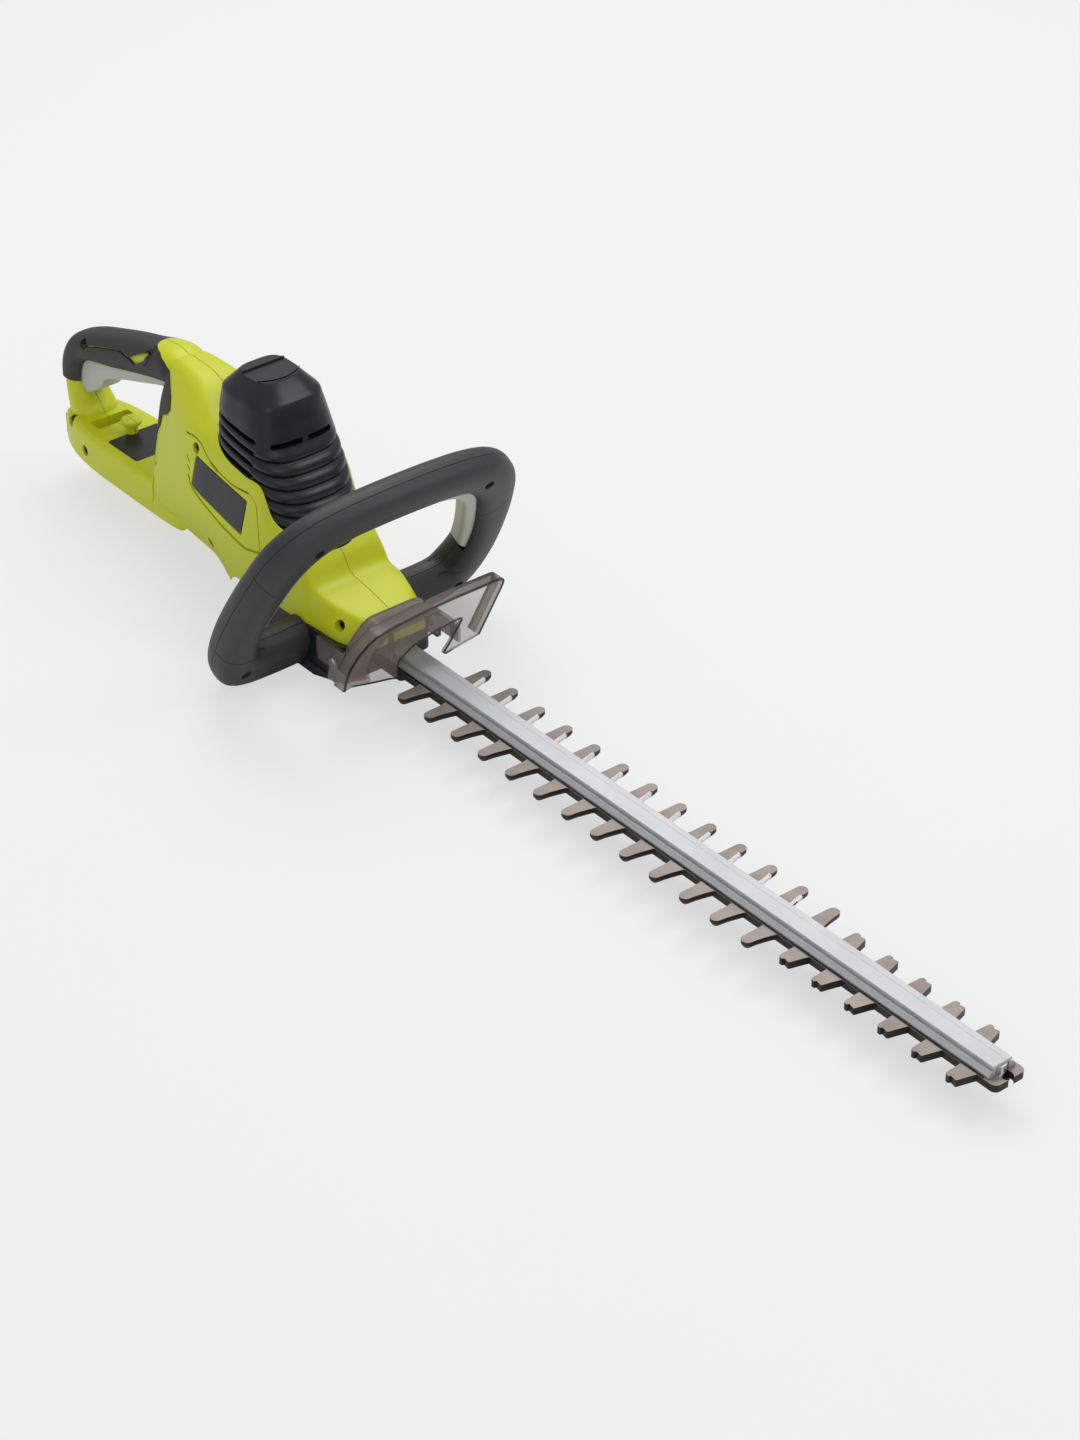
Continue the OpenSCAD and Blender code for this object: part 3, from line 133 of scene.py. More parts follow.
def placed(points):
    """Millimetres in the tool's frame turned into metres where the part stands."""
    return (np.asarray(points, float) + SHIFT) / 1000.0


def new_piece(name, points, faces):
    """Mesh object from points in millimetres and lists of point numbers, with its faces turned outwards."""
    mesh = bpy.data.meshes.new(name)
    mesh.from_pydata(placed(points).tolist(), [], [list(map(int, f)) for f in faces])
    mesh.validate()
    piece = linked(name, mesh)
    outwards(piece)
    return piece


def outwards(piece):
    """Turns the whole surface over if its enclosed volume comes out negative."""
    work = bmesh.new()
    work.from_mesh(piece.data)
    if work.calc_volume(signed=True) < 0:
        bmesh.ops.reverse_faces(work, faces=work.faces[:])
    work.to_mesh(piece.data)
    work.free()


def grid_faces(rows, ring):
    """Faces between neighbouring rings of a tube with rows rings of ring points, closed round each ring."""
    i, j = np.meshgrid(np.arange(rows - 1), np.arange(ring), indexing="ij")
    k = (j + 1) % ring
    return np.stack([i * ring + j, (i + 1) * ring + j, (i + 1) * ring + k, i * ring + k], -1).reshape(-1, 4)


def loft(name, rings):
    """Closed solid through an array of rings (row, point, xyz): quads between rings, one face at each end."""
    rings = np.asarray(rings, float)
    rows, ring = rings.shape[:2]
    faces = grid_faces(rows, ring).tolist()
    faces.append(list(range(ring)))
    faces.append(list(range((rows - 1) * ring, rows * ring))[::-1])
    return new_piece(name, rings.reshape(-1, 3), faces)


def prism(name, outline, axis, low, high):
    """Outline (two columns) pushed along an axis: x,z along y; y,z along x; x,y along z."""
    p = np.asarray(outline, float)
    rings = np.empty((2, len(p), 3))
    a, b, c = COLUMNS[axis]
    rings[:, :, a] = p[:, 0]
    rings[:, :, b] = p[:, 1]
    rings[:, :, c] = np.array([[low], [high]])
    return loft(name, rings)


def turned(name, profile, start, direction, steps=40):
    """Profile (distance along, radius) turned about the line from start in a direction."""
    p = np.asarray(profile, float)
    d = np.asarray(direction, float) / np.linalg.norm(direction)
    u = np.cross(d, [0.0, 0.0, 1.0] if abs(d[2]) < 0.9 else [1.0, 0.0, 0.0])
    u /= np.linalg.norm(u)
    v = np.cross(d, u)
    w = np.linspace(0, 2 * np.pi, steps, endpoint=False)
    round_ = np.cos(w)[:, None] * u + np.sin(w)[:, None] * v
    reach = np.maximum(p[:, 1], 1e-3)[:, None, None]
    rings = np.asarray(start, float) + p[:, 0, None, None] * d + reach * round_
    return loft(name, rings)


def rod(name, start, end, width, steps=32):
    """Plain cylinder between two points, used as a cutter."""
    start, end = np.asarray(start, float), np.asarray(end, float)
    return turned(name, [(0, width / 2), (np.linalg.norm(end - start), width / 2)], start, end - start, steps)


def block(name, low, high):
    """Box between two corners, used as a cutter."""
    x, z = (low[0], high[0]), (low[2], high[2])
    return prism(name, [(x[0], z[0]), (x[1], z[0]), (x[1], z[1]), (x[0], z[1])], "y", low[1], high[1])


def round_box(name, low, high, r, axis="z", steps=5):
    """Box whose four edges along an axis are rounded to radius r."""
    a, b, c = COLUMNS[axis]
    w = np.linspace(0, np.pi / 2, steps + 1)
    corner = np.stack([np.cos(w), np.sin(w)], -1) * r
    turns = [np.array([[1, 0], [0, 1]]), np.array([[0, -1], [1, 0]]), np.array([[-1, 0], [0, -1]]),
             np.array([[0, 1], [-1, 0]])]
    centres = [(high[a] - r, high[b] - r), (low[a] + r, high[b] - r), (low[a] + r, low[b] + r),
               (high[a] - r, low[b] + r)]
    outline = np.concatenate([corner @ t.T + np.array(m) for t, m in zip(turns, centres)])
    return prism(name, outline, axis, low[c], high[c])


def carve(piece, action, others, keep=False):
    """Cuts (DIFFERENCE), joins (UNION) or keeps the common part (INTERSECT) with other closed solids."""
    others = others if isinstance(others, (list, tuple)) else [others]
    for other in others:
        step = piece.modifiers.new("step", "BOOLEAN")
        step.operation = action
        step.solver = "MANIFOLD"
        step.object = other
    settle(piece)
    if not keep:
        for other in others:
            mesh = other.data
            bpy.data.objects.remove(other)
            bpy.data.meshes.remove(mesh)
    return piece


def settle(piece):
    """Applies the modifiers of a piece to its mesh."""
    graph = bpy.context.evaluated_depsgraph_get()
    mesh = bpy.data.meshes.new_from_object(piece.evaluated_get(graph))
    old = piece.data
    piece.modifiers.clear()
    piece.data = mesh
    mesh.name = piece.name
    bpy.data.meshes.remove(old)
    if not len(mesh.vertices):
        raise RuntimeError("nothing is left of " + piece.name)


def shifted(piece, dx):
    """Piece moved along the tool in its mesh, in millimetres."""
    piece.data.transform(Matrix.Translation((dx / 1000.0, 0, 0)))
    return piece


def mirrored(piece, name):
    """Copy of a piece on the other side of the middle plane."""
    mesh = piece.data.copy()
    mesh.vertices.foreach_set("co", (mesh_points(mesh) * [1, -1, 1]).ravel())
    copy = linked(name, mesh)
    outwards(copy)
    return copy


def to_right(piece, name):
    """Piece moved to the other side of the middle plane."""
    right = mirrored(piece, name)
    bpy.data.objects.remove(piece)
    return right


def joined(name, pieces):
    """One object out of several that don't touch each other."""
    points, faces, count = [], [], 0
    for piece in pieces:
        mesh = piece.data
        points.append(mesh_points(mesh))
        faces += [[v + count for v in p.vertices] for p in mesh.polygons]
        count += len(mesh.vertices)
        bpy.data.objects.remove(piece)
        bpy.data.meshes.remove(mesh)
    mesh = bpy.data.meshes.new(name)
    mesh.from_pydata(np.concatenate(points).tolist(), [], faces)
    return linked(name, mesh)


def finish(piece, material, body, stands_for=(), angle=32, rounding=0.0):
    """Smooths a piece but for its sharp edges, gives it its material and ties it to its body."""
    mesh = piece.data
    work = bmesh.new()
    work.from_mesh(mesh)
    bmesh.ops.remove_doubles(work, verts=work.verts[:], dist=2e-6)
    bmesh.ops.dissolve_degenerate(work, edges=work.edges[:], dist=1e-6)
    work.to_mesh(mesh)
    work.free()
    if rounding:
        edge = piece.modifiers.new("rounding", "BEVEL")
        edge.width = rounding / 1000.0
        edge.segments = 2
        edge.limit_method = "ANGLE"
        edge.angle_limit = math.radians(angle)
        edge.harden_normals = False
        settle(piece)
        mesh = piece.data
    mesh.polygons.foreach_set("use_smooth", np.ones(len(mesh.polygons), bool))
    mesh.set_sharp_from_angle(angle=math.radians(angle))
    mesh.materials.clear()
    mesh.materials.append(material)
    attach(piece, body)
    if stands_for:
        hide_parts(*stands_for)
    return piece


# ------------------------------------------------------------------ curves shared with the solids

def along(rows, t):
    """Catmull-Rom curve through the rows at t from 0 to 1: the cubic of the four rows nearest to t."""
    p = np.asarray(rows, float)
    s = np.minimum(np.asarray(t, float), 0.999999) * (len(p) - 1)
    i = np.floor(s).astype(int)
    f = (s - i)[:, None]
    a, b = p[np.maximum(i - 1, 0)], p[i]
    c, d = p[np.minimum(i + 1, len(p) - 1)], p[np.minimum(i + 2, len(p) - 1)]
    square, cube = 2 * a - 5 * b + 4 * c - d, 3 * b - 3 * c + d - a
    return 0.5 * (2 * b + (c - a) * f + square * f ** 2 + cube * f ** 3)


def corner_curve(corners, radii, n):
    """Outline whose inner corners turn into curves of n + 1 points.

    corners is (row, corner, xy). A curve starts r before its corner and ends r behind it, and follows the
    corner plus (1-t) squared times the way in plus t squared times the way out.
    """
    p = np.asarray(corners, float)
    t = np.linspace(0, 1, n + 1)[None, :, None]
    parts = [p[:, :1]]
    for i in range(1, p.shape[1] - 1):
        a, b = p[:, i - 1] - p[:, i], p[:, i + 1] - p[:, i]
        u = a * np.minimum(radii[i] / np.linalg.norm(a, axis=1), 0.45)[:, None]
        v = b * np.minimum(radii[i] / np.linalg.norm(b, axis=1), 0.45)[:, None]
        parts.append(p[:, i, None] + u[:, None] * (1 - t) ** 2 + v[:, None] * t ** 2)
    return np.concatenate(parts + [p[:, -1:]], 1)


def oval(centre, a, b, e, w):
    """Rings of power e: centre plus a times |cos w| to the 2/e and b times |sin w| to the 2/e, with signs."""
    x, y = np.cos(w), np.sin(w)
    x, y = np.sign(x) * np.abs(x) ** (2 / e), np.sign(y) * np.abs(y) ** (2 / e)
    return centre[:, None] + a[:, None] * x[None, :, None] + b[:, None] * y[None, :, None]


BODY_ROWS = [
    (-286, 6, 15, 20, 24, 100, 18, 124, 11), (-278, 3, 19, 22, 30, 104, 22, 129.5, 13),
    (-262, 3, 20, 30, 35, 106, 26, 130.5, 14), (-238, 2, 22, 44, 40, 106, 32, 128, 16),
    (-212, 0, 24, 52, 43, 105, 36, 116, 23.5), (-186, -12, 28, 50, 43, 104, 36.5, 110, 26),
    (-160, -18, 32, 46, 42.5, 102, 36.5, 107, 27), (-142, -18, 34, 40, 41.5, 96, 36.5, 101, 27),
    (-130, -18, 34, 34, 40.5, 74, 36, 79, 28), (-114, -18, 35, 26, 39.5, 60, 35, 65, 28),
    (-99, -18, 35, 22, 38, 47, 33.5, 52, 28), (-90, -18, 34, 19, 36.5, 38, 32.5, 41, 28),
    (-76, -18, 33, 17, 35.5, 35, 32, 38, 28), (-60, -18, 33, 16, 34.5, 32, 28, 35, 24),
    (-46, -18, 29, 16, 28, 29, 22, 31.5, 18), (-38, -18, 23, 16, 22, 27, 18, 29.5, 15)]
ARM_ROWS = [
    (-419, 11, 26, 8), (-417, 6.5, 29.5, 12.5), (-412, 4.5, 31.5, 17), (-404, 3.5, 32.5, 20.5),
    (-393, 3, 33, 23.6), (-380, 3, 33, 25.8), (-364, 3, 33, 27.4), (-340, 3, 33, 28), (-268, 3, 33, 28),
    (-252, 5, 30, 25), (-236, 9, 26, 19)]
GRIP_ROWS = [
    (-416, 8, -388, 10, 19), (-416.5, 30, -385, 34, 19), (-419, 43, -395, 46, 17.5),
    (-423.5, 57, -398, 58, 15.5), (-421, 74, -396, 68, 15.5), (-410.5, 90, -390, 76, 15.5),
    (-391, 100.5, -377, 80, 15.5), (-367, 109, -357, 84.5, 15.5), (-340, 117.7, -332, 91.3, 15.5),
    (-313, 125, -305, 98.5, 16), (-296, 130, -290, 102, 17), (-281, 131.5, -280, 104.5, 17.5),
    (-266, 128, -270, 108, 14)]
SOFT_START = 2.8 / 12
TRIGGER_SIDE = [
    (-283, 100), (-297, 97), (-330, 86), (-345, 81), (-366, 72.5), (-371, 69.5), (-374.5, 62),
    (-379, 58.5), (-393, 50), (-397, 50), (-404, 60), (-404, 70), (-399, 77), (-393, 80.5), (-385, 82),
    (-370, 86), (-350, 93), (-330, 100), (-302, 111), (-296, 118), (-285, 118), (-282, 110)]
COVER_SIDE = [
    (-450, 56.5), (-450, 170), (-303, 170), (-302, 128.5), (-288, 128), (-279.5, 125.5), (-271, 120),
    (-260, 110), (-257, 102), (-262, 96), (-270.5, 92), (-274.7, 81), (-285, 69), (-292, 66), (-375, 66),
    (-392, 57.5)]
SCREWS = [(-385, 94.6, 10), (-300.5, 123, 11), (-398, 29, 17), (-374, 17.5, 23), (-213, 95, 33),
          (-62, 25, 27), (-209.5, 20, 27)]


def body_half(name, inset, seam, t0=0.0, t1=1.0, rows=150, curve=8):
    """Half of the body: at each x a section of six corners, rounded, with its flat side at y = seam."""
    r = along(BODY_ROWS, np.linspace(t0, t1, rows))
    g = inset
    s = np.full(len(r), float(seam))
    corners = np.stack([
        np.stack([s, r[:, 1] + g], -1), np.stack([r[:, 2] - g, r[:, 1] + g], -1),
        np.stack([r[:, 4] - g, r[:, 3]], -1), np.stack([r[:, 6] - g, r[:, 5] - g * 0.4], -1),
        np.stack([r[:, 8] - g * 0.4, r[:, 7] - g], -1), np.stack([s, r[:, 7] - g], -1)], 1)
    q = corner_curve(corners, [0, 9, 16, 12, 9, 0], curve)
    x = r[:, 0, None] + 0.18 * (q[:, :, 1] - 69) * np.clip((-262 - r[:, 0, None]) / 26, 0, 1)
    return loft(name, np.stack([x, q[:, :, 0], q[:, :, 1]], -1))


def arm_half(name, inset, seam, rows=90, curve=8):
    """Half of the lower arm: a section of four corners, rounded, that closes in towards the rear."""
    k = np.linspace(0, 1, rows)
    r = along(ARM_ROWS, k)
    g = inset * (1 - k) ** 0.3
    s = np.full(len(r), float(seam))
    corners = np.stack([
        np.stack([s, r[:, 1] + g], -1), np.stack([r[:, 3] - g, r[:, 1] + g], -1),
        np.stack([r[:, 3] - g, r[:, 2] - g], -1), np.stack([s, r[:, 2] - g], -1)], 1)
    q = corner_curve(corners, [0, 7, 6, 0], curve)
    x = np.repeat((r[:, 0] + inset * (1 - k) ** 6)[:, None], q.shape[1], 1)
    return loft(name, np.stack([x, q[:, :, 0], q[:, :, 1]], -1))


def grip(name, t0, t1, inset, rows=120, ring=48):
    """Tube of the grip: ovals of power 2.35 across a line from the outer to the inner edge."""
    r = along(GRIP_ROWS, np.linspace(t0, t1, rows))
    a = np.stack([r[:, 0] - r[:, 2], np.zeros(len(r)), r[:, 1] - r[:, 3]], -1) / 2
    a *= 1 - inset / np.linalg.norm(a, axis=1)[:, None]
    b = np.zeros_like(a)
    b[:, 1] = -r[:, 4] + inset
    centre = np.stack([(r[:, 0] + r[:, 2]) / 2, np.zeros(len(r)), (r[:, 1] + r[:, 3]) / 2], -1)
    return loft(name, oval(centre, a, b, 2.35, np.linspace(0, 2 * np.pi, ring, endpoint=False)))


def left_half(piece, low=0.0):
    """Keeps what lies to the left of y = low."""
    return carve(piece, "INTERSECT", block("keep", (REAR - 30, low, -60), (60, 140, 200)))


def grown(outline, g):
    """Closed outline, listed clockwise, moved out by g along the mean of its edges' normals."""
    p = np.asarray(outline, float)
    u = p - np.roll(p, 1, 0)
    v = np.roll(p, -1, 0) - p
    u /= np.linalg.norm(u, axis=1)[:, None]
    v /= np.linalg.norm(v, axis=1)[:, None]
    m = np.stack([-u[:, 1] - v[:, 1], u[:, 0] + v[:, 0]], -1)
    return p + g * 2 * m / (m * m).sum(1)[:, None]


def rounded_outline(outline, r, n=4):
    """Closed outline with every corner turned into a short curve that starts r from it."""
    p = np.asarray(outline, float)
    r = np.broadcast_to(np.asarray(r, float), len(p))
    a, b = np.roll(p, 1, 0) - p, np.roll(p, -1, 0) - p
    u = a * np.minimum(r / np.linalg.norm(a, axis=1), 0.45)[:, None]
    v = b * np.minimum(r / np.linalg.norm(b, axis=1), 0.45)[:, None]
    t = np.linspace(0, 1, n + 1)[None, :, None]
    return (p[:, None] + u[:, None] * (1 - t) ** 2 + v[:, None] * t ** 2).reshape(-1, 2)


def swung(outline, degrees):
    """Side view turned about the trigger's pin, as the trigger turns when it is squeezed."""
    w = math.radians(degrees)
    p = np.asarray(outline, float) - PIN
    return p @ np.array([[math.cos(w), -math.sin(w)], [math.sin(w), math.cos(w)]]) + PIN


# ------------------------------------------------------------------ materials

class Wire:
    """A shader socket that takes part in sums: an expression on wires adds its Math nodes."""

    def __init__(self, finish_, socket):
        self.finish = finish_
        self.socket = socket

    def math(self, kind, *others, clamp=False):
        """Math node of a kind with this wire first."""
        node = self.finish.node("ShaderNodeMath", {"operation": kind, "use_clamp": clamp})
        for slot, value in zip(node.inputs, (self,) + others):
            self.finish.feed(slot, value)
        return Wire(self.finish, node.outputs[0])

    def __add__(self, other):
        return self.math("ADD", other)

    __radd__ = __add__

    def __sub__(self, other):
        return self.math("SUBTRACT", other)

    def __rsub__(self, other):
        return (self * -1.0).math("ADD", other)

    def __mul__(self, other):
        return self.math("MULTIPLY", other)

    __rmul__ = __mul__

    def __truediv__(self, other):
        return self.math("DIVIDE", other)

    def __pow__(self, other):
        return self.math("POWER", other)

    def __abs__(self):
        return self.math("ABSOLUTE")

    def __lt__(self, other):
        return self.math("LESS_THAN", other)

    def __gt__(self, other):
        return self.math("GREATER_THAN", other)

    def most(self, other):
        """The larger of two values."""
        return self.math("MAXIMUM", other)

    def held(self):
        """Value held between 0 and 1."""
        return self.math("ADD", 0.0, clamp=True)

    def line(self, at, width):
        """1 on a line where the value equals at, falling to 0 at half the width on each side."""
        return (1.0 - abs(self - at) / (width / 2)).held()

    def rise(self, low, high):
        """Smooth step from 0 at low to 1 at high."""
        node = self.finish.node("ShaderNodeMapRange", {"interpolation_type": "SMOOTHSTEP"},
                                **{"Value": self, "From Min": low, "From Max": high})
        return Wire(self.finish, node.outputs[0])


class Finish:
    """Builder of one procedural material on Object coordinates."""

    def __init__(self, name):
        self.material = bpy.data.materials.new(name)
        self.material.use_nodes = True
        self.tree = self.material.node_tree
        self.tree.nodes.clear()
        self.place = self.node("ShaderNodeTexCoord").outputs["Object"]

    def feed(self, slot, value):
        """Links a wire or a socket to a node's input, or sets its value."""
        if isinstance(value, Wire):
            value = value.socket
        if isinstance(value, bpy.types.NodeSocket):
            self.tree.links.new(value, slot)
        elif isinstance(value, (tuple, list)) and slot.type == "RGBA" and len(value) == 3:
            slot.default_value = (*value, 1.0)
        else:
            slot.default_value = value

    def node(self, kind, settings=None, **values):
        """Node of a type, with its settings set first and then its sockets."""
        node = self.tree.nodes.new(kind)
        for key, value in (settings or {}).items():
            if key == "stops":
                ramp = node.color_ramp
                while len(ramp.elements) < len(value):
                    ramp.elements.new(0.5)
                for stop, (at, shade) in zip(ramp.elements, value):
                    stop.position = at
                    stop.color = (*shade, 1.0) if len(shade) == 3 else shade
            else:
                setattr(node, key, value)
        for key, value in values.items():
            self.feed(node.inputs[key], value)
        return node

    def axes(self):
        """x, y and z in millimetres of the tool's own frame."""
        split = self.node("ShaderNodeSeparateXYZ", Vector=self.place)
        out = []
        for k in range(3):
            out.append(Wire(self, split.outputs[k]) * 1000.0 - float(SHIFT[k]))
        return out

    def facing(self):
        """x, y and z of the surface's normal."""
        split = self.node("ShaderNodeSeparateXYZ", Vector=self.node("ShaderNodeTexCoord").outputs["Normal"])
        return [Wire(self, split.outputs[k]) for k in range(3)]

    def noise(self, size, detail=3.0, rough=0.55, stretch=(1, 1, 1), seed=0.0):
        """Noise from 0 to 1 with a grain of the given size in millimetres, stretched along the axes."""
        scaled = self.node("ShaderNodeMapping", Vector=self.place, Location=(seed, seed * 0.7, -seed),
                           Scale=tuple(1000.0 / (size * k) for k in stretch))
        node = self.node("ShaderNodeTexNoise", Vector=scaled.outputs[0], Scale=1.0, Detail=detail,
                         Roughness=rough)
        return Wire(self, node.outputs[0])

    def cells(self, size, seed=0.0):
        """Distance to the nearest of scattered points, one in each cell of the given size."""
        scaled = self.node("ShaderNodeMapping", Vector=self.place, Location=(seed, seed, seed),
                           Scale=(1000.0 / size,) * 3)
        node = self.node("ShaderNodeTexVoronoi", Vector=scaled.outputs[0], Scale=1.0)
        return Wire(self, node.outputs[0])

    def mix(self, share, a, b, kind="MIX"):
        """Colour a changed towards b by a share."""
        node = self.node("ShaderNodeMix", {"data_type": "RGBA", "blend_type": kind})
        self.feed(node.inputs[0], share)
        self.feed(node.inputs[6], a)
        self.feed(node.inputs[7], b)
        return node.outputs[2]

    def done(self, height=None, depth=0.2, **values):
        """Principled shader with a bump of a depth in millimetres, and the output."""
        surface = self.node("ShaderNodeBsdfPrincipled", **values)
        if height is not None:
            bump = self.node("ShaderNodeBump", Height=height, Distance=depth / 1000.0, Strength=1.0)
            self.tree.links.new(bump.outputs[0], surface.inputs["Normal"])
        out = self.node("ShaderNodeOutputMaterial")
        self.tree.links.new(surface.outputs[0], out.inputs["Surface"])
        return self.material


def shade(base, k):
    """Colour made darker or lighter by a factor."""
    return tuple(min(1.0, c * k) for c in base)


def moulded(name, base, rough=0.45, grain=0.55, depth=0.035, lines_and_shade=None, worn=0.12, coat=0.0, level=0.4):
    """Moulded plastic: eroded grain, slow changes of shade and gloss, and dark thin lines where parts meet.

    The mask function passed in takes the material and gives a mask from 0 to 1 that is 1 in a line where
    parts meet, and for the lime housings also in painted shade in two screw bores.
    """
    f = Finish(name)
    slow = f.noise(38.0, 2.0)
    fine = f.noise(grain, 3.0, 0.6)
    pits = f.cells(grain * 1.7)
    tone = f.mix((slow - 0.5) * 2 * worn + 0.5, shade(base, 0.90), shade(base, 1.08))
    tone = f.mix((fine - 0.5) * 0.5 + 0.25, tone, shade(base, 0.82))
    height = fine * 0.7 + pits * 0.5
    gloss = slow * 0.10 + fine * 0.12 + (rough - 0.11)
    if lines_and_shade is not None:
        mask = lines_and_shade(f)
        # Darkens the seams, and paints shade where the mask marks a screw bore.
        tone = f.mix(mask * 0.86, tone, shade(base, 0.10))
        height = height * (1.0 - mask) - mask * (0.35 / depth)
        gloss = gloss + mask * 0.25
    return f.done(height, depth, **{"Base Color": tone, "Roughness": gloss, "Specular IOR Level": level,
                                    "Coat Weight": coat, "Coat Roughness": 0.25})


def metal(name, base, rough=0.32, stretch=(14, 1, 1), size=0.5, streak=0.35, depth=0.012, tint=None,
          spots=0.0):
    """Ground or drawn metal: fine streaks along the working direction, with slow stains."""
    f = Finish(name)
    streaks = f.noise(size, 4.0, 0.7, stretch)
    stain = f.noise(26.0, 3.0, 0.6, (1.6, 1, 1), 3.0)
    tone = f.mix(streaks, shade(base, 1 - streak), shade(base, 1 + streak * 0.5))
    tone = f.mix((stain - 0.35) * 0.8, tone, tint or shade(base, 0.8))
    gloss = streaks * 0.16 + stain * 0.14 + (rough - 0.15)
    if spots:
        dots = (f.noise(1.6, 2.0, 0.5, (1, 1, 1), 9.0)).rise(0.62, 0.72)
        tone = f.mix(dots * spots, tone, shade(base, 0.45))
        gloss = gloss + dots * 0.2
    return f.done(streaks, depth, **{"Base Color": tone, "Roughness": gloss, "Metallic": 1.0})


def smoked(name, base):
    """Clear tinted plastic: nearly clear where it is thin, dark along its narrow edges, with flow marks."""
    f = Finish(name)
    x, y = f.axes()[:2]
    nx = abs(f.facing()[0])
    t = sizes().guard
    rim = (x > GUARD_X + t + 0.05).most((nx < 0.5) * (x > GUARD_X + t - 0.6) * (abs(y) < 90.0))
    back = ((nx > 0.7) * (x < GUARD_X - 1.0)).most((x < GUARD_X - 7.4) * (x > GUARD_X - 8.2))
    ends = (nx < 0.5) * (x < -46.0) * (abs(y) < BASE_HALF + t - 0.15) * (abs(y) > BASE_HALF + 0.1)
    edge = rim.most(back).most(ends)
    grazing = Wire(f, f.node("ShaderNodeLayerWeight", Blend=0.4).outputs["Facing"])
    flow = f.noise(22.0, 3.0, 0.6, (1, 1.6, 1))
    scuff = f.noise(0.6, 3.0, 0.7, (1, 6, 1), 5.0)
    tone = f.mix(flow, shade(base, 0.85), shade(base, 1.15))
    tone = f.mix((nx < 0.5) * 0.45, tone, shade(base, 0.3))
    tone = f.mix(edge, tone, shade(base, 0.07))
    folded = (nx < 0.5) * 0.32
    alpha = ((grazing ** 2.0) * 0.34 + (flow - 0.5) * 0.10 + folded + 0.27).most(edge * 0.97)
    return f.done(scuff * 0.4 + flow, 0.05,
                  **{"Base Color": tone, "Roughness": scuff * 0.10 + 0.12, "IOR": 1.5, "Alpha": alpha})


def ground_blade(name, base):
    """Hardened blade steel: satin brown-grey faces, bright ground bevels, painted shade on the narrow side
    faces, and a dark band beside the rail that is grease and painted shadow.
    """
    f = Finish(name)
    x, y = f.axes()[:2]
    nx, _, nz = f.facing()
    across = f.noise(0.45, 4.0, 0.7, (1, 9, 1))
    stain = f.noise(30.0, 3.0, 0.6, (1.5, 1, 1), 3.0)
    spots = f.noise(1.4, 2.0, 0.5, (1, 1, 1), 9.0).rise(0.60, 0.72)
    tone = f.mix(across, shade(base, 0.78), shade(base, 1.14))
    tone = f.mix(stain.rise(0.35, 0.75) * 0.55, tone, (0.155, 0.125, 0.105))
    tone = f.mix(spots * 0.3, tone, shade(base, 0.5))
    flank = (nx > 0.5) * (y > 14.0) * (y < 25.5) * (x < 330.0)
    bevel = ((nz < 0.93) * (nz > 0.2)).most(flank)
    tone = f.mix(bevel, tone, f.mix(across, (0.55, 0.55, 0.56), (0.82, 0.82, 0.83)))
    # Painted shade on the narrow side faces, and a band beside the rail that is grease and painted shadow.
    side_shade_and_grease = ((nz < 0.2) * (1.0 - flank)).most((abs(y) < 12.4) * (nz > 0.9) * (x < 521.0))
    tone = f.mix(side_shade_and_grease, tone, f.mix(stain, (0.020, 0.018, 0.017), (0.050, 0.046, 0.044)))
    gloss = across * 0.14 + stain * 0.12 + 0.34 - bevel * 0.12
    return f.done(across, 0.015, **{"Base Color": tone, "Roughness": gloss, "Metallic": 0.82})


def middle_seam(f):
    """Parting line of the two housings on the middle plane."""
    return f.axes()[1].line(0.0, sizes().seam)


def lime_seam_and_bore_shade(f):
    """Middle seam, and painted shade in the bores of the two screws that go through the soft cover."""
    x, y, z = f.axes()
    mask = middle_seam(f)
    for at_x, at_z, _ in SCREWS[:2]:
        # Painted shade: a dark disc in each of the two screw bores.
        mask = mask.most(((x - at_x) ** 2.0 + (z - at_z) ** 2.0 < 21.0) * (abs(y) > 6.0))
    return mask


def handle_axes(f):
    """Across, along and out of the plane of the front handle, in millimetres."""
    x, y, z = f.axes()
    c, s = math.cos(LEAN), math.sin(LEAN)
    dx, dz = x - float(HANDLE_FOOT[0]), z - float(HANDLE_FOOT[2])
    return y, dz * c + dx * s, dx * c - dz * s


def handle_seams(f):
    """Parting line round the front handle's tube, and the joints across it."""
    across, up, out = handle_axes(f)
    w = sizes().seam * 2.4
    side = abs(across)
    lengthwise = out.line(0.0, w)
    joint = (up - side * 0.9).line(12.0, w) * (side > 70.0) * (out > -2.0)
    low = (up - side * 0.35).line(-14.0, w) * (side > 72.0)
    return lengthwise.most(joint).most(low)


PAINTS = {}


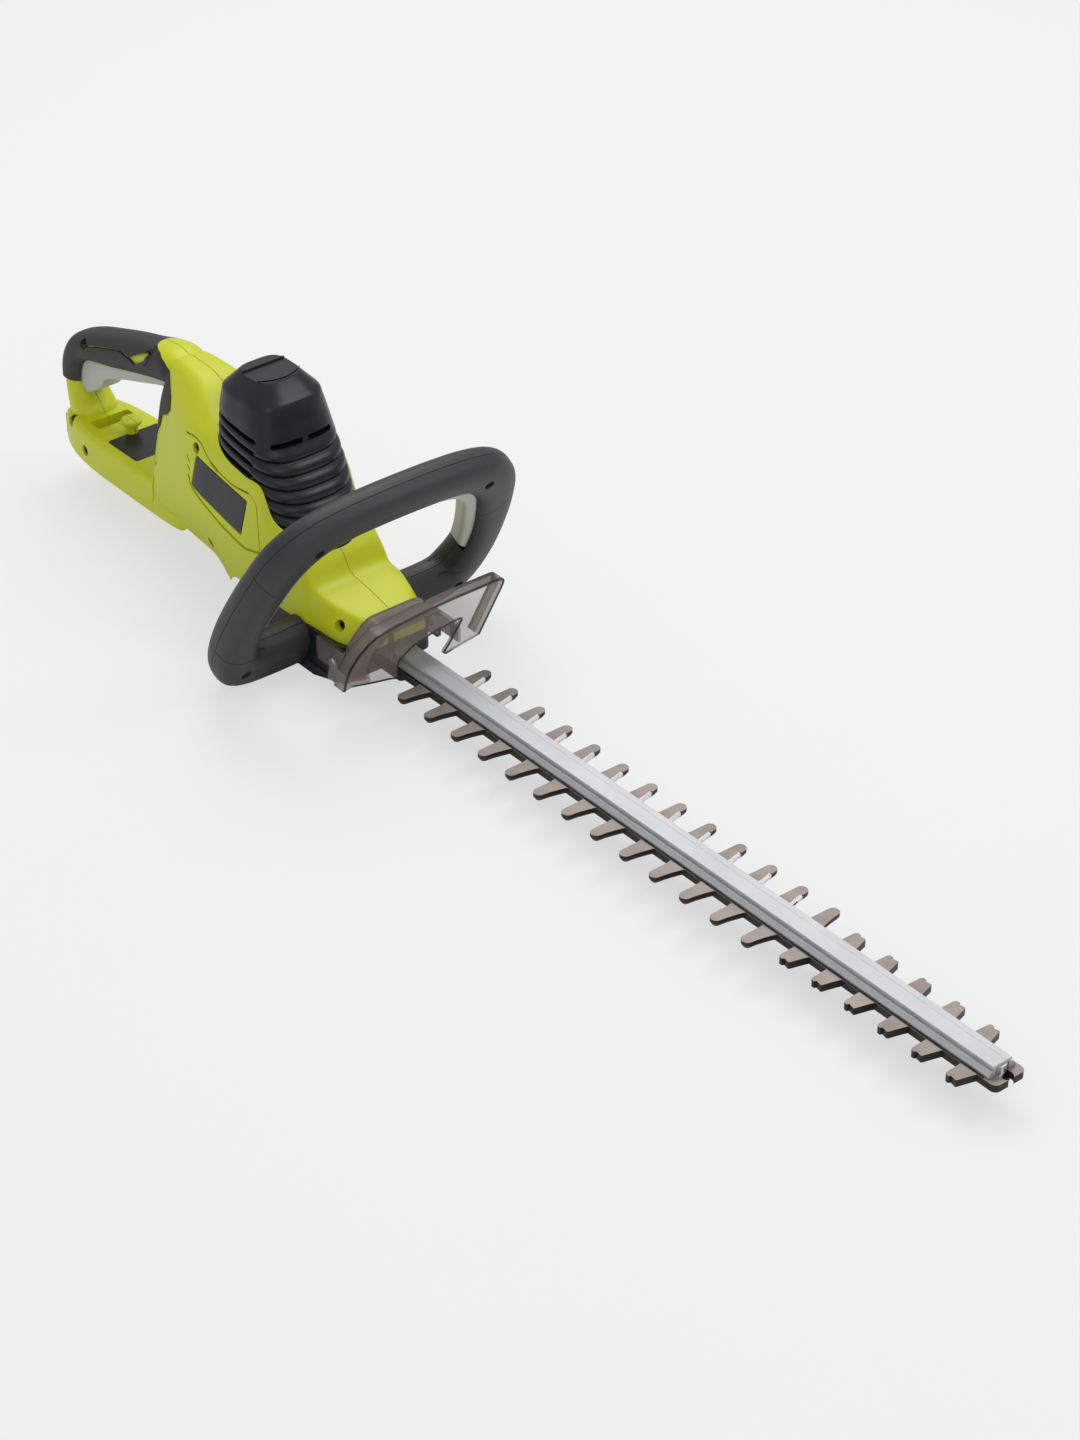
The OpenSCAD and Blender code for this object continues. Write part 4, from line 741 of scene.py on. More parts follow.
def paint(name):
    """Material of a name, made the first time that it is asked for."""
    if name in PAINTS:
        return PAINTS[name]
    c = colours()
    makers = {
        "lime_shell": lambda n: moulded(n, c.lime, 0.42, 0.6, 0.03, lime_seam_and_bore_shade),
        "soft_cover": lambda n: moulded(n, c.soft, 0.62, 0.45, 0.05, middle_seam, 0.2),
        "front_handle_grey": lambda n: moulded(n, c.handle, 0.50, 0.5, 0.045, handle_seams, 0.2),
        "tower_black": lambda n: moulded(n, c.black, 0.36, 0.7, 0.05, None, 0.25, 0.22, 0.28),
        "case_black": lambda n: moulded(n, shade(c.black, 1.25), 0.44, 0.6, 0.04, None, 0.25),
        "plate_black": lambda n: moulded(n, shade(c.black, 1.5), 0.40, 0.35, 0.015, None, 0.1),
        "label_black": lambda n: moulded(n, shade(c.black, 1.3), 0.30, 0.3, 0.008, None, 0.1),
        "trigger_grey": lambda n: moulded(n, c.grey, 0.40, 0.5, 0.02, None, 0.1),
        "lime_flat": lambda n: moulded(n, c.lime, 0.42, 0.6, 0.02, None, 0.1),
        "guard_smoke": lambda n: smoked(n, c.smoke),
        "blade_steel": lambda n: ground_blade(n, c.steel),
        "rail_bright": lambda n: metal(n, c.bright, 0.62, (60, 1, 1), 0.35, 0.10, 0.008,
                                       shade(c.bright, 0.93)),
        "zinc": lambda n: metal(n, c.zinc, 0.34, (1, 1, 1), 0.8, 0.15, 0.01),
        "screw_black": lambda n: metal(n, (0.03, 0.03, 0.032), 0.40, (1, 1, 1), 0.6, 0.3, 0.01),
        "gear_steel": lambda n: metal(n, (0.33, 0.33, 0.34), 0.30, (1, 1, 9), 0.4, 0.3, 0.01, None, 0.2),
        "die_cast": lambda n: metal(n, (0.52, 0.53, 0.54), 0.50, (1, 1, 1), 0.9, 0.3, 0.03),
        "bronze": lambda n: metal(n, (0.50, 0.30, 0.14), 0.38, (1, 1, 5), 0.4, 0.3, 0.01),
        "motor_can": lambda n: metal(n, (0.46, 0.47, 0.49), 0.30, (1, 1, 30), 0.4, 0.15, 0.008),
        "magnet": lambda n: moulded(n, (0.045, 0.045, 0.05), 0.55, 0.4, 0.02),
        "winding": lambda n: metal(n, (0.62, 0.26, 0.10), 0.35, (1, 12, 1), 0.6, 0.5, 0.04),
        "carbon": lambda n: moulded(n, (0.03, 0.03, 0.03), 0.6, 0.3, 0.02),
        "board": lambda n: moulded(n, (0.015, 0.14, 0.05), 0.35, 0.8, 0.01),
        "sleeve": lambda n: moulded(n, (0.05, 0.10, 0.28), 0.3, 0.8, 0.01),
        "core_steel": lambda n: metal(n, (0.40, 0.34, 0.22), 0.45, (1, 30, 1), 0.5, 0.45, 0.03),
        "contact": lambda n: metal(n, (0.72, 0.50, 0.20), 0.25, (1, 1, 9), 0.5, 0.15, 0.008),
        "insulation": lambda n: moulded(n, (0.36, 0.02, 0.02), 0.4, 0.6, 0.01),
    }
    PAINTS[name] = makers[name](name)
    return PAINTS[name]


# ------------------------------------------------------------------ housings and grip

SIDE_PLATE = [(-211.6, 90), (-153.6, 80.6), (-158.6, 54.2), (-215.4, 67)]
PLATE_POCKET = [(-212.5, 91.0), (-152.7, 81.4), (-157.8, 53.2), (-216.4, 66.3)]
UPPER_SLIT = [(-228, 99.8), (-218, 101.8), (-207, 100.6), (-199, 95.0), (-191, 90.3), (-169.4, 86.2),
              (-151.5, 87.6)]
LOWER_SLIT = [(-220.3, 71.7), (-218.6, 67.4), (-215, 64.6), (-183.5, 51.8), (-155, 44.8), (-138.2, 48.6)]
FRONT_LINE = [(-151, 87.6), (-143.4, 84), (-138.2, 49.5)]
PAD = [(-313, 27), (-282, 38), (-285.5, 15.5), (-321.5, 9.5)]
WINDOW = [(-326.5, 108.8), (-319.2, 106.4), (-305, 115.6), (-301.6, 122.6), (-309, 119.4)]
COVER_LINE = [(-386, 92.6), (-376, 97.0), (-355, 104.2), (-337, 109.8), (-325.5, 108.6)]
COVER_FOLD = [(-304.6, 111.4), (-296, 121.5), (-297, 131)]
BAY = ((-283, -24, -1), (-215, 24, 40))
ARM_TOP = 33.0
HOOK_X = -352.0
SLOT_X = -376.0


def stripe(line, w):
    """Closed outline of a line thickened to width w, with the ends cut square."""
    p = np.asarray(line, float)
    d = np.gradient(p, axis=0)
    n = np.stack([-d[:, 1], d[:, 0]], -1) / np.linalg.norm(d, axis=1)[:, None] * w / 2
    return np.concatenate([p + n, (p - n)[::-1]])


def smooth_line(line, r=6.0, n=6):
    """Open line with each inner corner turned into a curve."""
    p = np.asarray(line, float)[None]
    return corner_curve(p, [r] * p.shape[1], n)[0]


def skin_cut(name, outline, depth, low=14.0, high=60.0):
    """Solid over a side view that reaches from outside down to a depth under the body's surface."""
    piece = prism(name, outline, "y", low, high)
    return carve(piece, "DIFFERENCE", body_half(name + "_under", depth, -1))


def cover_opening(gap):
    """Space of the motor cover grown by a gap, carried down through the body."""
    z = np.concatenate([[-30.0], np.linspace(36, 156, 60)])
    return loft("cover_space", cover_ring(np.maximum(z, 36), gap, z))


def screw_hole(side, q):
    """Countersunk bore on the right, or a pilot hole from the seam on the left."""
    x, z, out = q
    if side < 0:
        return [rod("head", (x, -60, z), (x, -out, z), 8.0), rod("shank", (x, -60, z), (x, 1, z), 4.2)]
    return [rod("pilot", (x, -1, z), (x, out - 3, z), 4.0)]


def trigger_space():
    """Slot in which the trigger swings: its side view grown by a gap, at three turns."""
    return [prism("trigger_space", grown(swung(TRIGGER_SIDE, a), 0.7), "y", -9.6, 9.6) for a in (0, 2, 4)]


def cover_limit(name, g=0.0):
    """Everything inside the side view of the soft cover, grown by g."""
    return prism(name, grown(COVER_SIDE, g), "y", -60, 60)


def cover_core():
    """What the soft cover lies on: the grip without its cover, and the body drawn in by the strip."""
    return [grip("core", 0, 1, 2.0), shifted(body_half("core", 1.2, -0.5, 0, 3.2 / 15, 60), 0.9)]


def left_shell():
    """Outside of the left housing, joined from body, arm, grip and hook, before the insides are cut."""
    shell = body_half("shell", 0, 0)
    collar = carve(grip("collar", 0.76, 1, 0), "DIFFERENCE", cover_limit("limit", 0.05))
    hook = turned("hook", [(0, 4.5), (11, 4.5), (11.4, 7.0), (12.4, 7.5), (14.2, 7.5), (15, 6.8)],
                  (HOOK_X, 0, ARM_TOP - 4), (0, 0, 1), 48)
    pad = carve(prism("pad", rounded_outline(PAD, 3), "y", 12, 50), "INTERSECT",
                carve(arm_half("pad_arm", -0.8, 0), "UNION", body_half("pad_body", -0.8, 0, 0, 0.2, 40)))
    carve(shell, "UNION", [arm_half("arm", 0, 0), left_half(grip("grip", 0, 1, 2.0)), left_half(collar),
                           left_half(hook), pad])
    return shell


def left_details(shell):
    """Cuts the plate's pocket, the grooves, the slot, the pad's hole and the vents into the left side."""
    s = sizes()
    carve(shell, "DIFFERENCE", [
        skin_cut("panel", rounded_outline(PLATE_POCKET, 1.8), s.panel),
        skin_cut("upper_slit", stripe(smooth_line(UPPER_SLIT, 5), 1.5), s.groove + 0.3),
        skin_cut("lower_slit", stripe(smooth_line(LOWER_SLIT, 5), 2.3), s.groove + 0.5),
        skin_cut("front_line", stripe(smooth_line(FRONT_LINE, 3), 0.75), s.groove * 0.6),
        skin_cut("slot", stripe([(-195, 92.3), (-186.3, 88.9)], 2.8), 6.0),
        rod("pad_hole", (-279.4, 10, 50), (-279.4, 60, 50), 3.2)])
    vents = [stripe(v, 1.7) for v in ([(-224.4, 84.6), (-220.4, 81.3)], [(-223.2, 78.4), (-219.4, 75.8)],
                                      [(-221.8, 72.0), (-219.0, 68.5)])]
    carve(shell, "DIFFERENCE", [skin_cut("vent", v, 6.0, 20) for v in vents])
    return shell


def housing(side):
    """One of the two lime housings: a hollow shell with its bosses, bay and openings."""
    name = "housing_right_shell" if side < 0 else "housing_left_shell"
    wall = sizes().wall
    shell = left_details(left_shell())
    carve(shell, "DIFFERENCE", [body_half("in_body", wall, -1, 0.3 / 15, 14.7 / 15, 110, 5),
                                arm_half("in_arm", wall, -1, 60, 5),
                                grip("in_grip", 0.04, 0.99, 2.0 + wall, 60, 32)])
    inside = carve(body_half("limit", 0.3, 0, 0, 1, 70, 5), "UNION",
                   [arm_half("limit", 0.3, 0, 50, 5), left_half(grip("limit", 0, 1, 2.4, 50, 32))])
    fittings = left_half(round_box("bay", np.array(BAY[0]) - (wall, wall, 0), np.array(BAY[1]) + wall, 2))
    others = [left_half(round_box("slot", (SLOT_X - 6 - wall, -16 - wall, 0),
                                  (SLOT_X + 6 + wall, 16 + wall, ARM_TOP), 3)),
              rod("pin_boss", (PIN[0], 9.7, PIN[1]), (PIN[0], 30, PIN[1]), 9)]
    others += [rod("post", (x, 18, 40), (x, 18, 45.5), 7) for x in (-276, -222)]
    others += [rod("boss", (q[0], 0, q[1]), (q[0], q[2] + 6, q[1]), 8.8) for q in SCREWS]
    carve(fittings, "UNION", others)
    carve(fittings, "INTERSECT", inside)
    carve(shell, "UNION", fittings)
    if side < 0:
        shell = to_right(shell, name)
    shell.name = name
    limit = carve(cover_limit("limit", 0.05), "DIFFERENCE", cover_core() if side > 0 else mirror_core())
    cuts = [c for q in SCREWS for c in screw_hole(side, q)] + trigger_space() + [
        cover_opening(0.35), block("base", (-168.25, -100, -100), (130, 100, 14)),
        block("rail", (-60, -21.5, 0), (0, 21.5, 10.0)), limit,
        round_box("bay", (BAY[0][0], BAY[0][1], BAY[0][2] - 20), BAY[1], 2),
        round_box("slot", (SLOT_X - 6, -16, -20), (SLOT_X + 6, 16, ARM_TOP + 1), 2),
        block("inlet", (REAR - 10, -15, 10), (REAR + 24, 15, 26)),
        rod("pin", (PIN[0], -14, PIN[1]), (PIN[0], 14, PIN[1]), 4)]
    cuts += [block("terminal", (-240, y - 0.6, 30), (-228, y + 0.6, 50)) for y in (side * 4, side * 12)]
    carve(shell, "DIFFERENCE", cuts)
    return finish(shell, paint("lime_shell"), "body", ["housing_right" if side < 0 else "housing_left"],
                  30)


def mirror_core():
    """The soft cover's core on the right-hand side."""
    core, strip = cover_core()
    return [core, to_right(strip, "core_right")]


def grip_cover(side):
    """One half of the soft cover: the grip's outer 2 mm, its collar and the strip before the hand hole."""
    name = "grip_cover_right_skin" if side < 0 else "grip_cover_left_skin"
    piece = left_half(grip(name, SOFT_START, 1, 0))
    carve(piece, "UNION", [body_half("collar", -0.6, 0, 0, 0.2, 60),
                           shifted(body_half("collar", -0.6, 0, 0, 0.19, 60), -0.6)])
    carve(piece, "INTERSECT", cover_limit("limit"))
    carve(piece, "DIFFERENCE", cover_core())
    line = stripe(smooth_line(COVER_LINE, 5), 1.2)
    fold = stripe(smooth_line(COVER_FOLD, 5), 0.8)
    groove = carve(prism("fold", fold, "y", 8, 60), "DIFFERENCE", grip("fold_under", 0, 1, 0.8))
    carve(piece, "DIFFERENCE", [prism("window", WINDOW, "y", -40, 40),
                                prism("line", line, "y", 8, 40), groove])
    if side < 0:
        piece = to_right(piece, name)
    piece.name = name
    carve(piece, "DIFFERENCE", trigger_space() + [c for q in SCREWS[:2] for c in screw_hole(side, q)])
    return finish(piece, paint("soft_cover"), "body", ["grip_cover_right" if side < 0 else "grip_cover_left"],
                  30)


def bare_plates():
    """Bare plates in the pockets of the two sides and on the lower arm."""
    s = sizes()
    plate = carve(prism("side_plate_left", rounded_outline(SIDE_PLATE, 1.5), "y", 20, 60), "INTERSECT",
                  body_half("plate_over", 0.05, -1))
    carve(plate, "DIFFERENCE", body_half("plate_under", s.panel + 0.01, -1))
    right = mirrored(plate, "side_plate_right")
    top = round_box("arm_plate", (-351, -21.5, ARM_TOP + 0.02), (-314.5, 21.5, ARM_TOP + 0.3), 2.5)
    for piece in (plate, right, top):
        finish(piece, paint("label_black"), "body", (), 30)


def trigger():
    """Trigger with its rear block: side view with rounded corners, its long edges rounded over."""
    outline = rounded_outline(TRIGGER_SIDE, 3.0, 4)
    y = np.array([-9, -8.6, -7.6, 7.6, 8.6, 9])
    inset = np.array([1.4, 0.5, 0.0, 0.0, 0.5, 1.4])
    rings = np.empty((len(y), len(outline), 3))
    for k in range(len(y)):
        p = grown(outline, -inset[k])
        rings[k, :, 0], rings[k, :, 2], rings[k, :, 1] = p[:, 0], p[:, 1], y[k]
    piece = loft("trigger_moulding", rings)
    carve(piece, "DIFFERENCE", [rod("pin", (PIN[0], -20, PIN[1]), (PIN[0], 20, PIN[1]), 4.1),
                                rod("spring", (PIN[0], -4, PIN[1]), (PIN[0], 4, PIN[1]), 11.5),
                                block("spring", (PIN[0] - 3, -4, PIN[1]), (PIN[0] + 11, 4, PIN[1] + 12))])
    return finish(piece, paint("trigger_grey"), "trigger", ["trigger"], 35)


# ------------------------------------------------------------------ motor cover

COVER_ROWS = [
    (36, -205, -99, 36), (52, -205, -101, 36.3), (70, -205, -109, 36.6), (90, -205, -119, 36.3),
    (106, -205, -128, 35.4), (120, -204.5, -136.5, 33.8), (134, -204, -141.5, 31.3),
    (147.4, -202.6, -145.4, 28), (158.7, -192.4, -157.2, 17.6), (159.3, -191.4, -158.2, 16.6)]
CAP_SQUARE = [(-192.2, -17.4), (-157.4, -17.4), (-157.4, 17.4), (-192.2, 17.4)]
CAP_STRIP = [(-181.4, -19), (-181.4, 19), (-165.6, 19), (-165.6, -19)]
RIB_PITCH = 8.0
RIB_LOW = 50.0
RIB_TILT = 0.14
STEP_X = -151.5


def cover_row(z):
    """Rear x, front x and half width of the cover at heights z, between the listed rows."""
    r = np.asarray(COVER_ROWS, float)
    return np.stack([np.interp(z, r[:, 0], r[:, k]) for k in (1, 2, 3)], -1)


def cover_ring(z, grow, place=None, ring=120):
    """Rings of the cover: ovals grown by an amount, at heights z, or set at other heights.

    Their power rises from 2.6 to 3.6 towards the cap, which turns the oval into a rounded box.
    """
    z = np.asarray(z, float)
    z = np.repeat(z[:, None], ring, 1) if z.ndim == 1 else z
    rear, front, half = np.moveaxis(cover_row(z), -1, 0)
    w = np.linspace(0, 2 * np.pi, ring, endpoint=False) + np.pi / ring
    n = 2 / np.interp(z, (60, 146), (2.6, 3.6))
    x, y = np.sign(np.cos(w)) * np.abs(np.cos(w)) ** n, np.sign(np.sin(w)) * np.abs(np.sin(w)) ** n
    g = np.broadcast_to(np.asarray(grow, float), z.shape)
    high = z if place is None else np.asarray(place, float)[:, None] * np.ones(ring)
    return np.stack([(rear + front) / 2 + ((front - rear) / 2 + g) * x, (half + g) * y, high], -1)


def cover_relief(z, ring=240):
    """Tilted rings of the cover, and how far its surface lies under them.

    The rings sink forward by RIB_TILT. Round the front, between 50 and 118, each rib is an arch: its depth
    times 1 minus the square root of the sine over its pitch. Beside it each slat is a rounded bar over a
    deep gap, and the two meet in a narrow upright wall at STEP_X.
    """
    s = sizes()
    level = cover_ring(z, 0.0, None, ring)
    tilt = np.interp(z, (38, 56, 118, 144), (0, RIB_TILT, RIB_TILT, 0))[:, None]
    high = level[:, :, 2] - tilt * (level[:, :, 0] - STEP_X)
    phase = (((z - RIB_LOW) / RIB_PITCH) % 1.0)[:, None]
    arch = (1 - np.sqrt(np.maximum(np.sin(np.pi * phase), 0))) * s.rib
    bar = (phase - 0.42) / 0.58
    slope = np.where(bar < 0, s.slat, (1 - np.sqrt(np.maximum(np.sin(np.pi * np.clip(bar, 0, 1)), 0))) * 0.9)
    ribs = ((z > RIB_LOW) & (z < 118.4)).astype(float)[:, None]
    slats = ((z > 97.9) & (z < 126.0)).astype(float)[:, None]
    low = ((z >= 50) & (z <= 97.9)).astype(float)[:, None]
    front = np.clip((level[:, :, 0] - STEP_X) / 1.2 + 0.5, 0, 1)
    rear = np.clip((level[:, :, 0] + 200) / 3.0, 0, 1)
    return high, ribs * arch * front + (slats * slope + low * arch * 0.7) * (1 - front) * rear


def motor_cover():
    """Black motor cover: bellows round its front, slats beside them, a chamfered cap with a bare strip."""
    s = sizes()
    z = np.unique(np.concatenate([np.linspace(36, 50, 6), np.arange(50, 127.2, RIB_PITCH / 14),
                                  np.linspace(127.2, 144, 8), [147.1, 147.7, 150, 154, 158.4, 158.9, 159.3]]))
    high, down = cover_relief(z, 240)
    piece = loft("motor_cover_shell", cover_ring(high, -down, None, 240))
    core_z = np.linspace(36, 156, 40)
    core = loft("core", cover_ring(core_z, -s.wall - s.slat - 0.6, np.where(core_z < 37, 30.0, core_z), 80))
    carve(piece, "DIFFERENCE", core)
    cuts = []
    for y0, y1 in ((2.5, 23), (-25, -2)):
        cuts.append(round_box("slot", (-154, y0, 120.6), (-120, y1, 124.2), 1.4, "x"))
    carve(piece, "DIFFERENCE", cuts)
    bow = np.linspace(-1, 1, 33)
    for x, out in ((-164.8, 5.8), (-182.2, -8.0)):
        line = np.stack([x + (1 - bow ** 2) * out, bow * 17.2], -1)
        crescent = prism("crescent", line if out > 0 else line[::-1], "z", 156, 160)
        cap = prism("cap", rounded_outline(CAP_SQUARE, 4), "z", 150, 170)
        carve(piece, "UNION", carve(crescent, "INTERSECT", cap))
    carve(piece, "DIFFERENCE", prism("strip", rounded_outline(CAP_STRIP, 1.0), "z", 158.7, 170))
    return finish(piece, paint("tower_black"), "body", ["motor_cover"], 26)


# ------------------------------------------------------------------ gear base and front handle

BASE_REAR = -168.0
BASE_FRONT = -50.0
BASE_HALF = 37.5
FLOOR = -22.5
COVER_FRONT = -84.0
BASE_BOSSES = [(-159, -28.5), (-159, 28.5), (-93, -28.5), (-93, 28.5)]
ARM_SCREWS = [(HANDLE_FOOT[0] + (z - HANDLE_FOOT[2]) * math.tan(LEAN) - 6.8, z) for z in (0.4, -8.0)]
GUARD_SCREW = (-58.0, 2.0)
GEAR_X = -121.0
GEAR_Z = 4.2
MOTOR_X = -158.0
SLIDE_HALF = 2.65
BOLT_FIRST = -36.0
LOOP_LEFT = [
    (37.5, -28, 37.5, 14, 13.5), (60, -28, 60, 12, 13.5), (82, -26, 76, 14, 13.5), (98.5, -17, 81, 22, 14),
    (109, 3, 84, 34, 14), (113, 32, 84.5, 48, 14), (112, 62, 82, 66, 14), (107.5, 95.5, 76, 88, 13.5),
    (98, 124.5, 69, 106, 13.5), (80.5, 142.5, 56, 119, 13), (56, 151, 38, 125.5, 13),
    (28, 154.3, 20, 127, 13), (0, 155, 0, 127.5, 13)]
LOOP = LOOP_LEFT + [(-r[0], r[1], -r[2], r[3], r[4]) for r in LOOP_LEFT[-2::-1]]
LEVER_FROM = 4.45 / 24
HANDLE_SCREWS = [(-89, 0), (89, 0), (-69, 130), (69, 130)]


def leaned(points):
    """Points of the handle's own frame (across, up along the handle, out of its front) set in the tool."""
    p = np.asarray(points, float)
    c, s = math.cos(LEAN), math.sin(LEAN)
    out = np.empty_like(p)
    out[..., 0] = p[..., 2] * c + p[..., 1] * s + HANDLE_FOOT[0]
    out[..., 1] = p[..., 0]
    out[..., 2] = -p[..., 2] * s + p[..., 1] * c + HANDLE_FOOT[2]
    return out


def loop_tube(name, inset, t0=0.0, t1=1.0, rows=220, ring=40):
    """Tube of the front handle: ovals of power 2.5 across the line from its outer to its inner edge."""
    r = along(LOOP, np.linspace(t0, t1, rows))
    a = np.stack([r[:, 0] - r[:, 2], r[:, 1] - r[:, 3], np.zeros(len(r))], -1) / 2
    a *= 1 - inset / np.linalg.norm(a, axis=1)[:, None]
    b = np.zeros_like(a)
    b[:, 2] = r[:, 4] - inset
    centre = np.stack([(r[:, 0] + r[:, 2]) / 2, (r[:, 1] + r[:, 3]) / 2, np.zeros(len(r))], -1)
    return loft(name, leaned(oval(centre, a, b, 2.5, np.linspace(0, 2 * np.pi, ring, endpoint=False))))


def lever_band(name, low, high, width, extra, power=5.0, rows=90):
    """Band that follows the inside of the tube, from low to high along the way out, width across."""
    t = np.linspace(LEVER_FROM - extra, 1 - LEVER_FROM + extra, rows)
    r = along(LOOP, t)
    a = np.stack([r[:, 0] - r[:, 2], r[:, 1] - r[:, 3], np.zeros(rows)], -1)
    a /= np.linalg.norm(a, axis=1)[:, None]
    foot = np.stack([r[:, 2], r[:, 3], np.zeros(rows)], -1)
    b = np.zeros_like(a)
    b[:, 2] = width / 2
    rings = oval(foot + a * (low + high) / 2, a * (high - low) / 2, b, power,
                 np.linspace(0, 2 * np.pi, 40, endpoint=False))
    return loft(name, leaned(rings))


def leaned_rod(name, x, y, z0, z1, width):
    """Cylinder square to the plane of the front handle."""
    ends = leaned([(x, y, z0), (x, y, z1)])
    return rod(name, ends[0], ends[1], width, 40)


def leaned_block(name, low, high):
    """Box in the frame of the front handle."""
    piece = block(name, low, high)
    p = leaned(mesh_points(piece.data) * 1000.0 - SHIFT)
    piece.data.vertices.foreach_set("co", placed(p).ravel())
    outwards(piece)
    return piece


def handle_half(front):
    """Front or rear moulding of the loop handle, with its screw recesses and the lever's slot."""
    name = "front_handle_face" if front else "front_handle_back"
    wall = sizes().wall
    piece = loop_tube(name, 0)
    carve(piece, "DIFFERENCE", loop_tube("inner", wall, 0, 1, 120, 32))
    inner = [leaned_rod("boss", x, y, -20, 20, 9.0) for x, y in HANDLE_SCREWS]
    inner += [leaned_block("wall", (s * 39 - 1.5, -40, -20), (s * 39 + 1.5, 40, 20)) for s in (-1, 1)]
    whole = inner[0]
    carve(whole, "UNION", inner[1:])
    carve(whole, "INTERSECT", loop_tube("limit", 0.4, 0, 1, 120, 32))
    carve(piece, "UNION", whole)
    cuts = []
    for x, y in HANDLE_SCREWS:
        cuts.append(leaned_rod("head", x, y, 4, 34, 7.6))
        cuts.append(leaned_rod("shank", x, y, -30 if front else -9.5, 30, 4.2))
    cuts.append(lever_band("slot", -4, 8.5, 14.0, 0.012))
    cuts.append(leaned_block("split", (-200, -100, -40 if front else 0), (200, 300, 0 if front else 40)))
    cuts += [block("floor", (-300, -200, -122.5), (100, 200, FLOOR)),
             block("base", (-300, -BASE_HALF - 0.02, -100), (100, BASE_HALF + 0.02, 34))]
    left = body_half("body_space", -0.4, -1, 0.4, 1, 90)
    cuts += [mirrored(left, "body_space"), left]
    cuts += [rod("arm_screw", (x, -60, z), (x, 60, z), 4.2) for x, z in ARM_SCREWS]
    if front:
        for s in (-1, 1):
            cuts.append(dished(s))
    carve(piece, "DIFFERENCE", cuts)
    return finish(piece, paint("front_handle_grey"), "body",
                  ["front_handle_front" if front else "front_handle_rear"], 28)


def dished(s):
    """Cutter for the shallow dish in the front of a handle arm: a flattened, squarish ellipsoid."""
    w = np.linspace(0, 2 * np.pi, 40, endpoint=False)
    v = np.linspace(0.02, math.pi - 0.02, 24)
    x = 60 + 16.5 * np.cos(v)[:, None] * np.ones(40)
    ring = np.sin(v)[:, None]
    y = -8 + 13.0 * np.sign(np.cos(w)) * np.abs(np.cos(w)) ** 0.75 * ring ** 0.5
    z = 15.6 + 3.6 * np.sign(np.sin(w)) * np.abs(np.sin(w)) ** 0.8 * ring ** 0.5
    return loft("dish", leaned(np.stack([s * x, y, z], -1)))


def front_handle():
    """Both mouldings of the front handle."""
    handle_half(True)
    handle_half(False)


def switch_lever():
    """Light grey switch lever that follows the inside of the front handle, its flange inside the tube."""
    piece = lever_band("switch_lever_moulding", -8, 6.4, 13.0, 0, 4.0, 120)
    carve(piece, "UNION", lever_band("flange", 6.2, 7.2, 16.0, -0.01))
    return finish(piece, paint("trigger_grey"), "lever", ["switch_lever"], 40)


def gear_base():
    """Black lower case: the gear pocket, the slideway for the blades and the tongue under the blade bar."""
    base = round_box("gear_base_casting", (BASE_REAR, -BASE_HALF, FLOOR), (BASE_FRONT, BASE_HALF, 14), 9,
                     "z", 10)
    ramp = [(COVER_FRONT - 1, FLOOR - 10), (COVER_FRONT - 1, FLOOR), (BASE_FRONT + 2, FLOOR + 10.5),
            (BASE_FRONT + 2, FLOOR - 10)]
    carve(base, "DIFFERENCE", [
        block("cover", (BASE_REAR - 10, -60, FLOOR - 10), (COVER_FRONT + 0.1, 60, FLOOR + 3)),
        prism("ramp", ramp, "y", -60, 60)])
    carve(base, "UNION", round_box("tongue", (BASE_FRONT - 10, -10.5, -8.65), (-24, 10.5, -SLIDE_HALF), 3))
    low = -11.65
    cuts = [rod("gear", (GEAR_X, 0, GEAR_Z - 0.7), (GEAR_X, 0, 44), 66.4, 96),
            rod("pinion", (MOTOR_X, 0, GEAR_Z - 0.7), (MOTOR_X, 0, 44), 17, 48),
            round_box("yokes", (GEAR_X - 28.04, -25.8, -SLIDE_HALF),
                      (BASE_FRONT - 12, 25.8, GEAR_Z - 0.6), 2),
            block("mouth", (-63, -13.1, -SLIDE_HALF), (-23, 13.1, SLIDE_HALF)),
            block("rail", (-63, -11, 2.64), (-23, 11, 10.35)),
            round_box("plate", (BASE_REAR + 2.5, -35, 10.8), (BASE_FRONT - 12.5, 35, 50), 7),
            rod("bush", (GEAR_X, 0, -11.15), (GEAR_X, 0, 20), 16),
            rod("bolt", (BOLT_FIRST, 0, -14), (BOLT_FIRST, 0, 8), 8.1)]
    hollow = round_box("hollow", (BASE_REAR + 4, -33.5, FLOOR), (COVER_FRONT - 4, 33.5, low), 6)
    carve(hollow, "DIFFERENCE", [rod("boss", (x, y, FLOOR - 1), (x, y, 8), 9) for x, y in BASE_BOSSES]
          + [rod("hub", (GEAR_X, 0, FLOOR - 1), (GEAR_X, 0, 8), 24)])
    cuts += [hollow] + [rod("screw", (x, y, FLOOR - 1), (x, y, -6.5), 4) for x, y in BASE_BOSSES]
    for s in (-1, 1):
        cuts += [rod("arm", (x, s * 27.5, z), (x, s * 38.5, z), 4) for x, z in ARM_SCREWS]
        cuts.append(rod("guard", (GUARD_SCREW[0], s * 29.5, GUARD_SCREW[1]),
                        (GUARD_SCREW[0], s * 38.5, GUARD_SCREW[1]), 3))
        cuts.append(round_box("panel", (-90, s * 37.5 - 0.9, -14), (-66, s * 37.5 + 0.9, 8), 2.0, "y"))
    carve(base, "DIFFERENCE", cuts)
    return finish(base, paint("case_black"), "body", ["gear_base"], 30)


# ------------------------------------------------------------------ guard

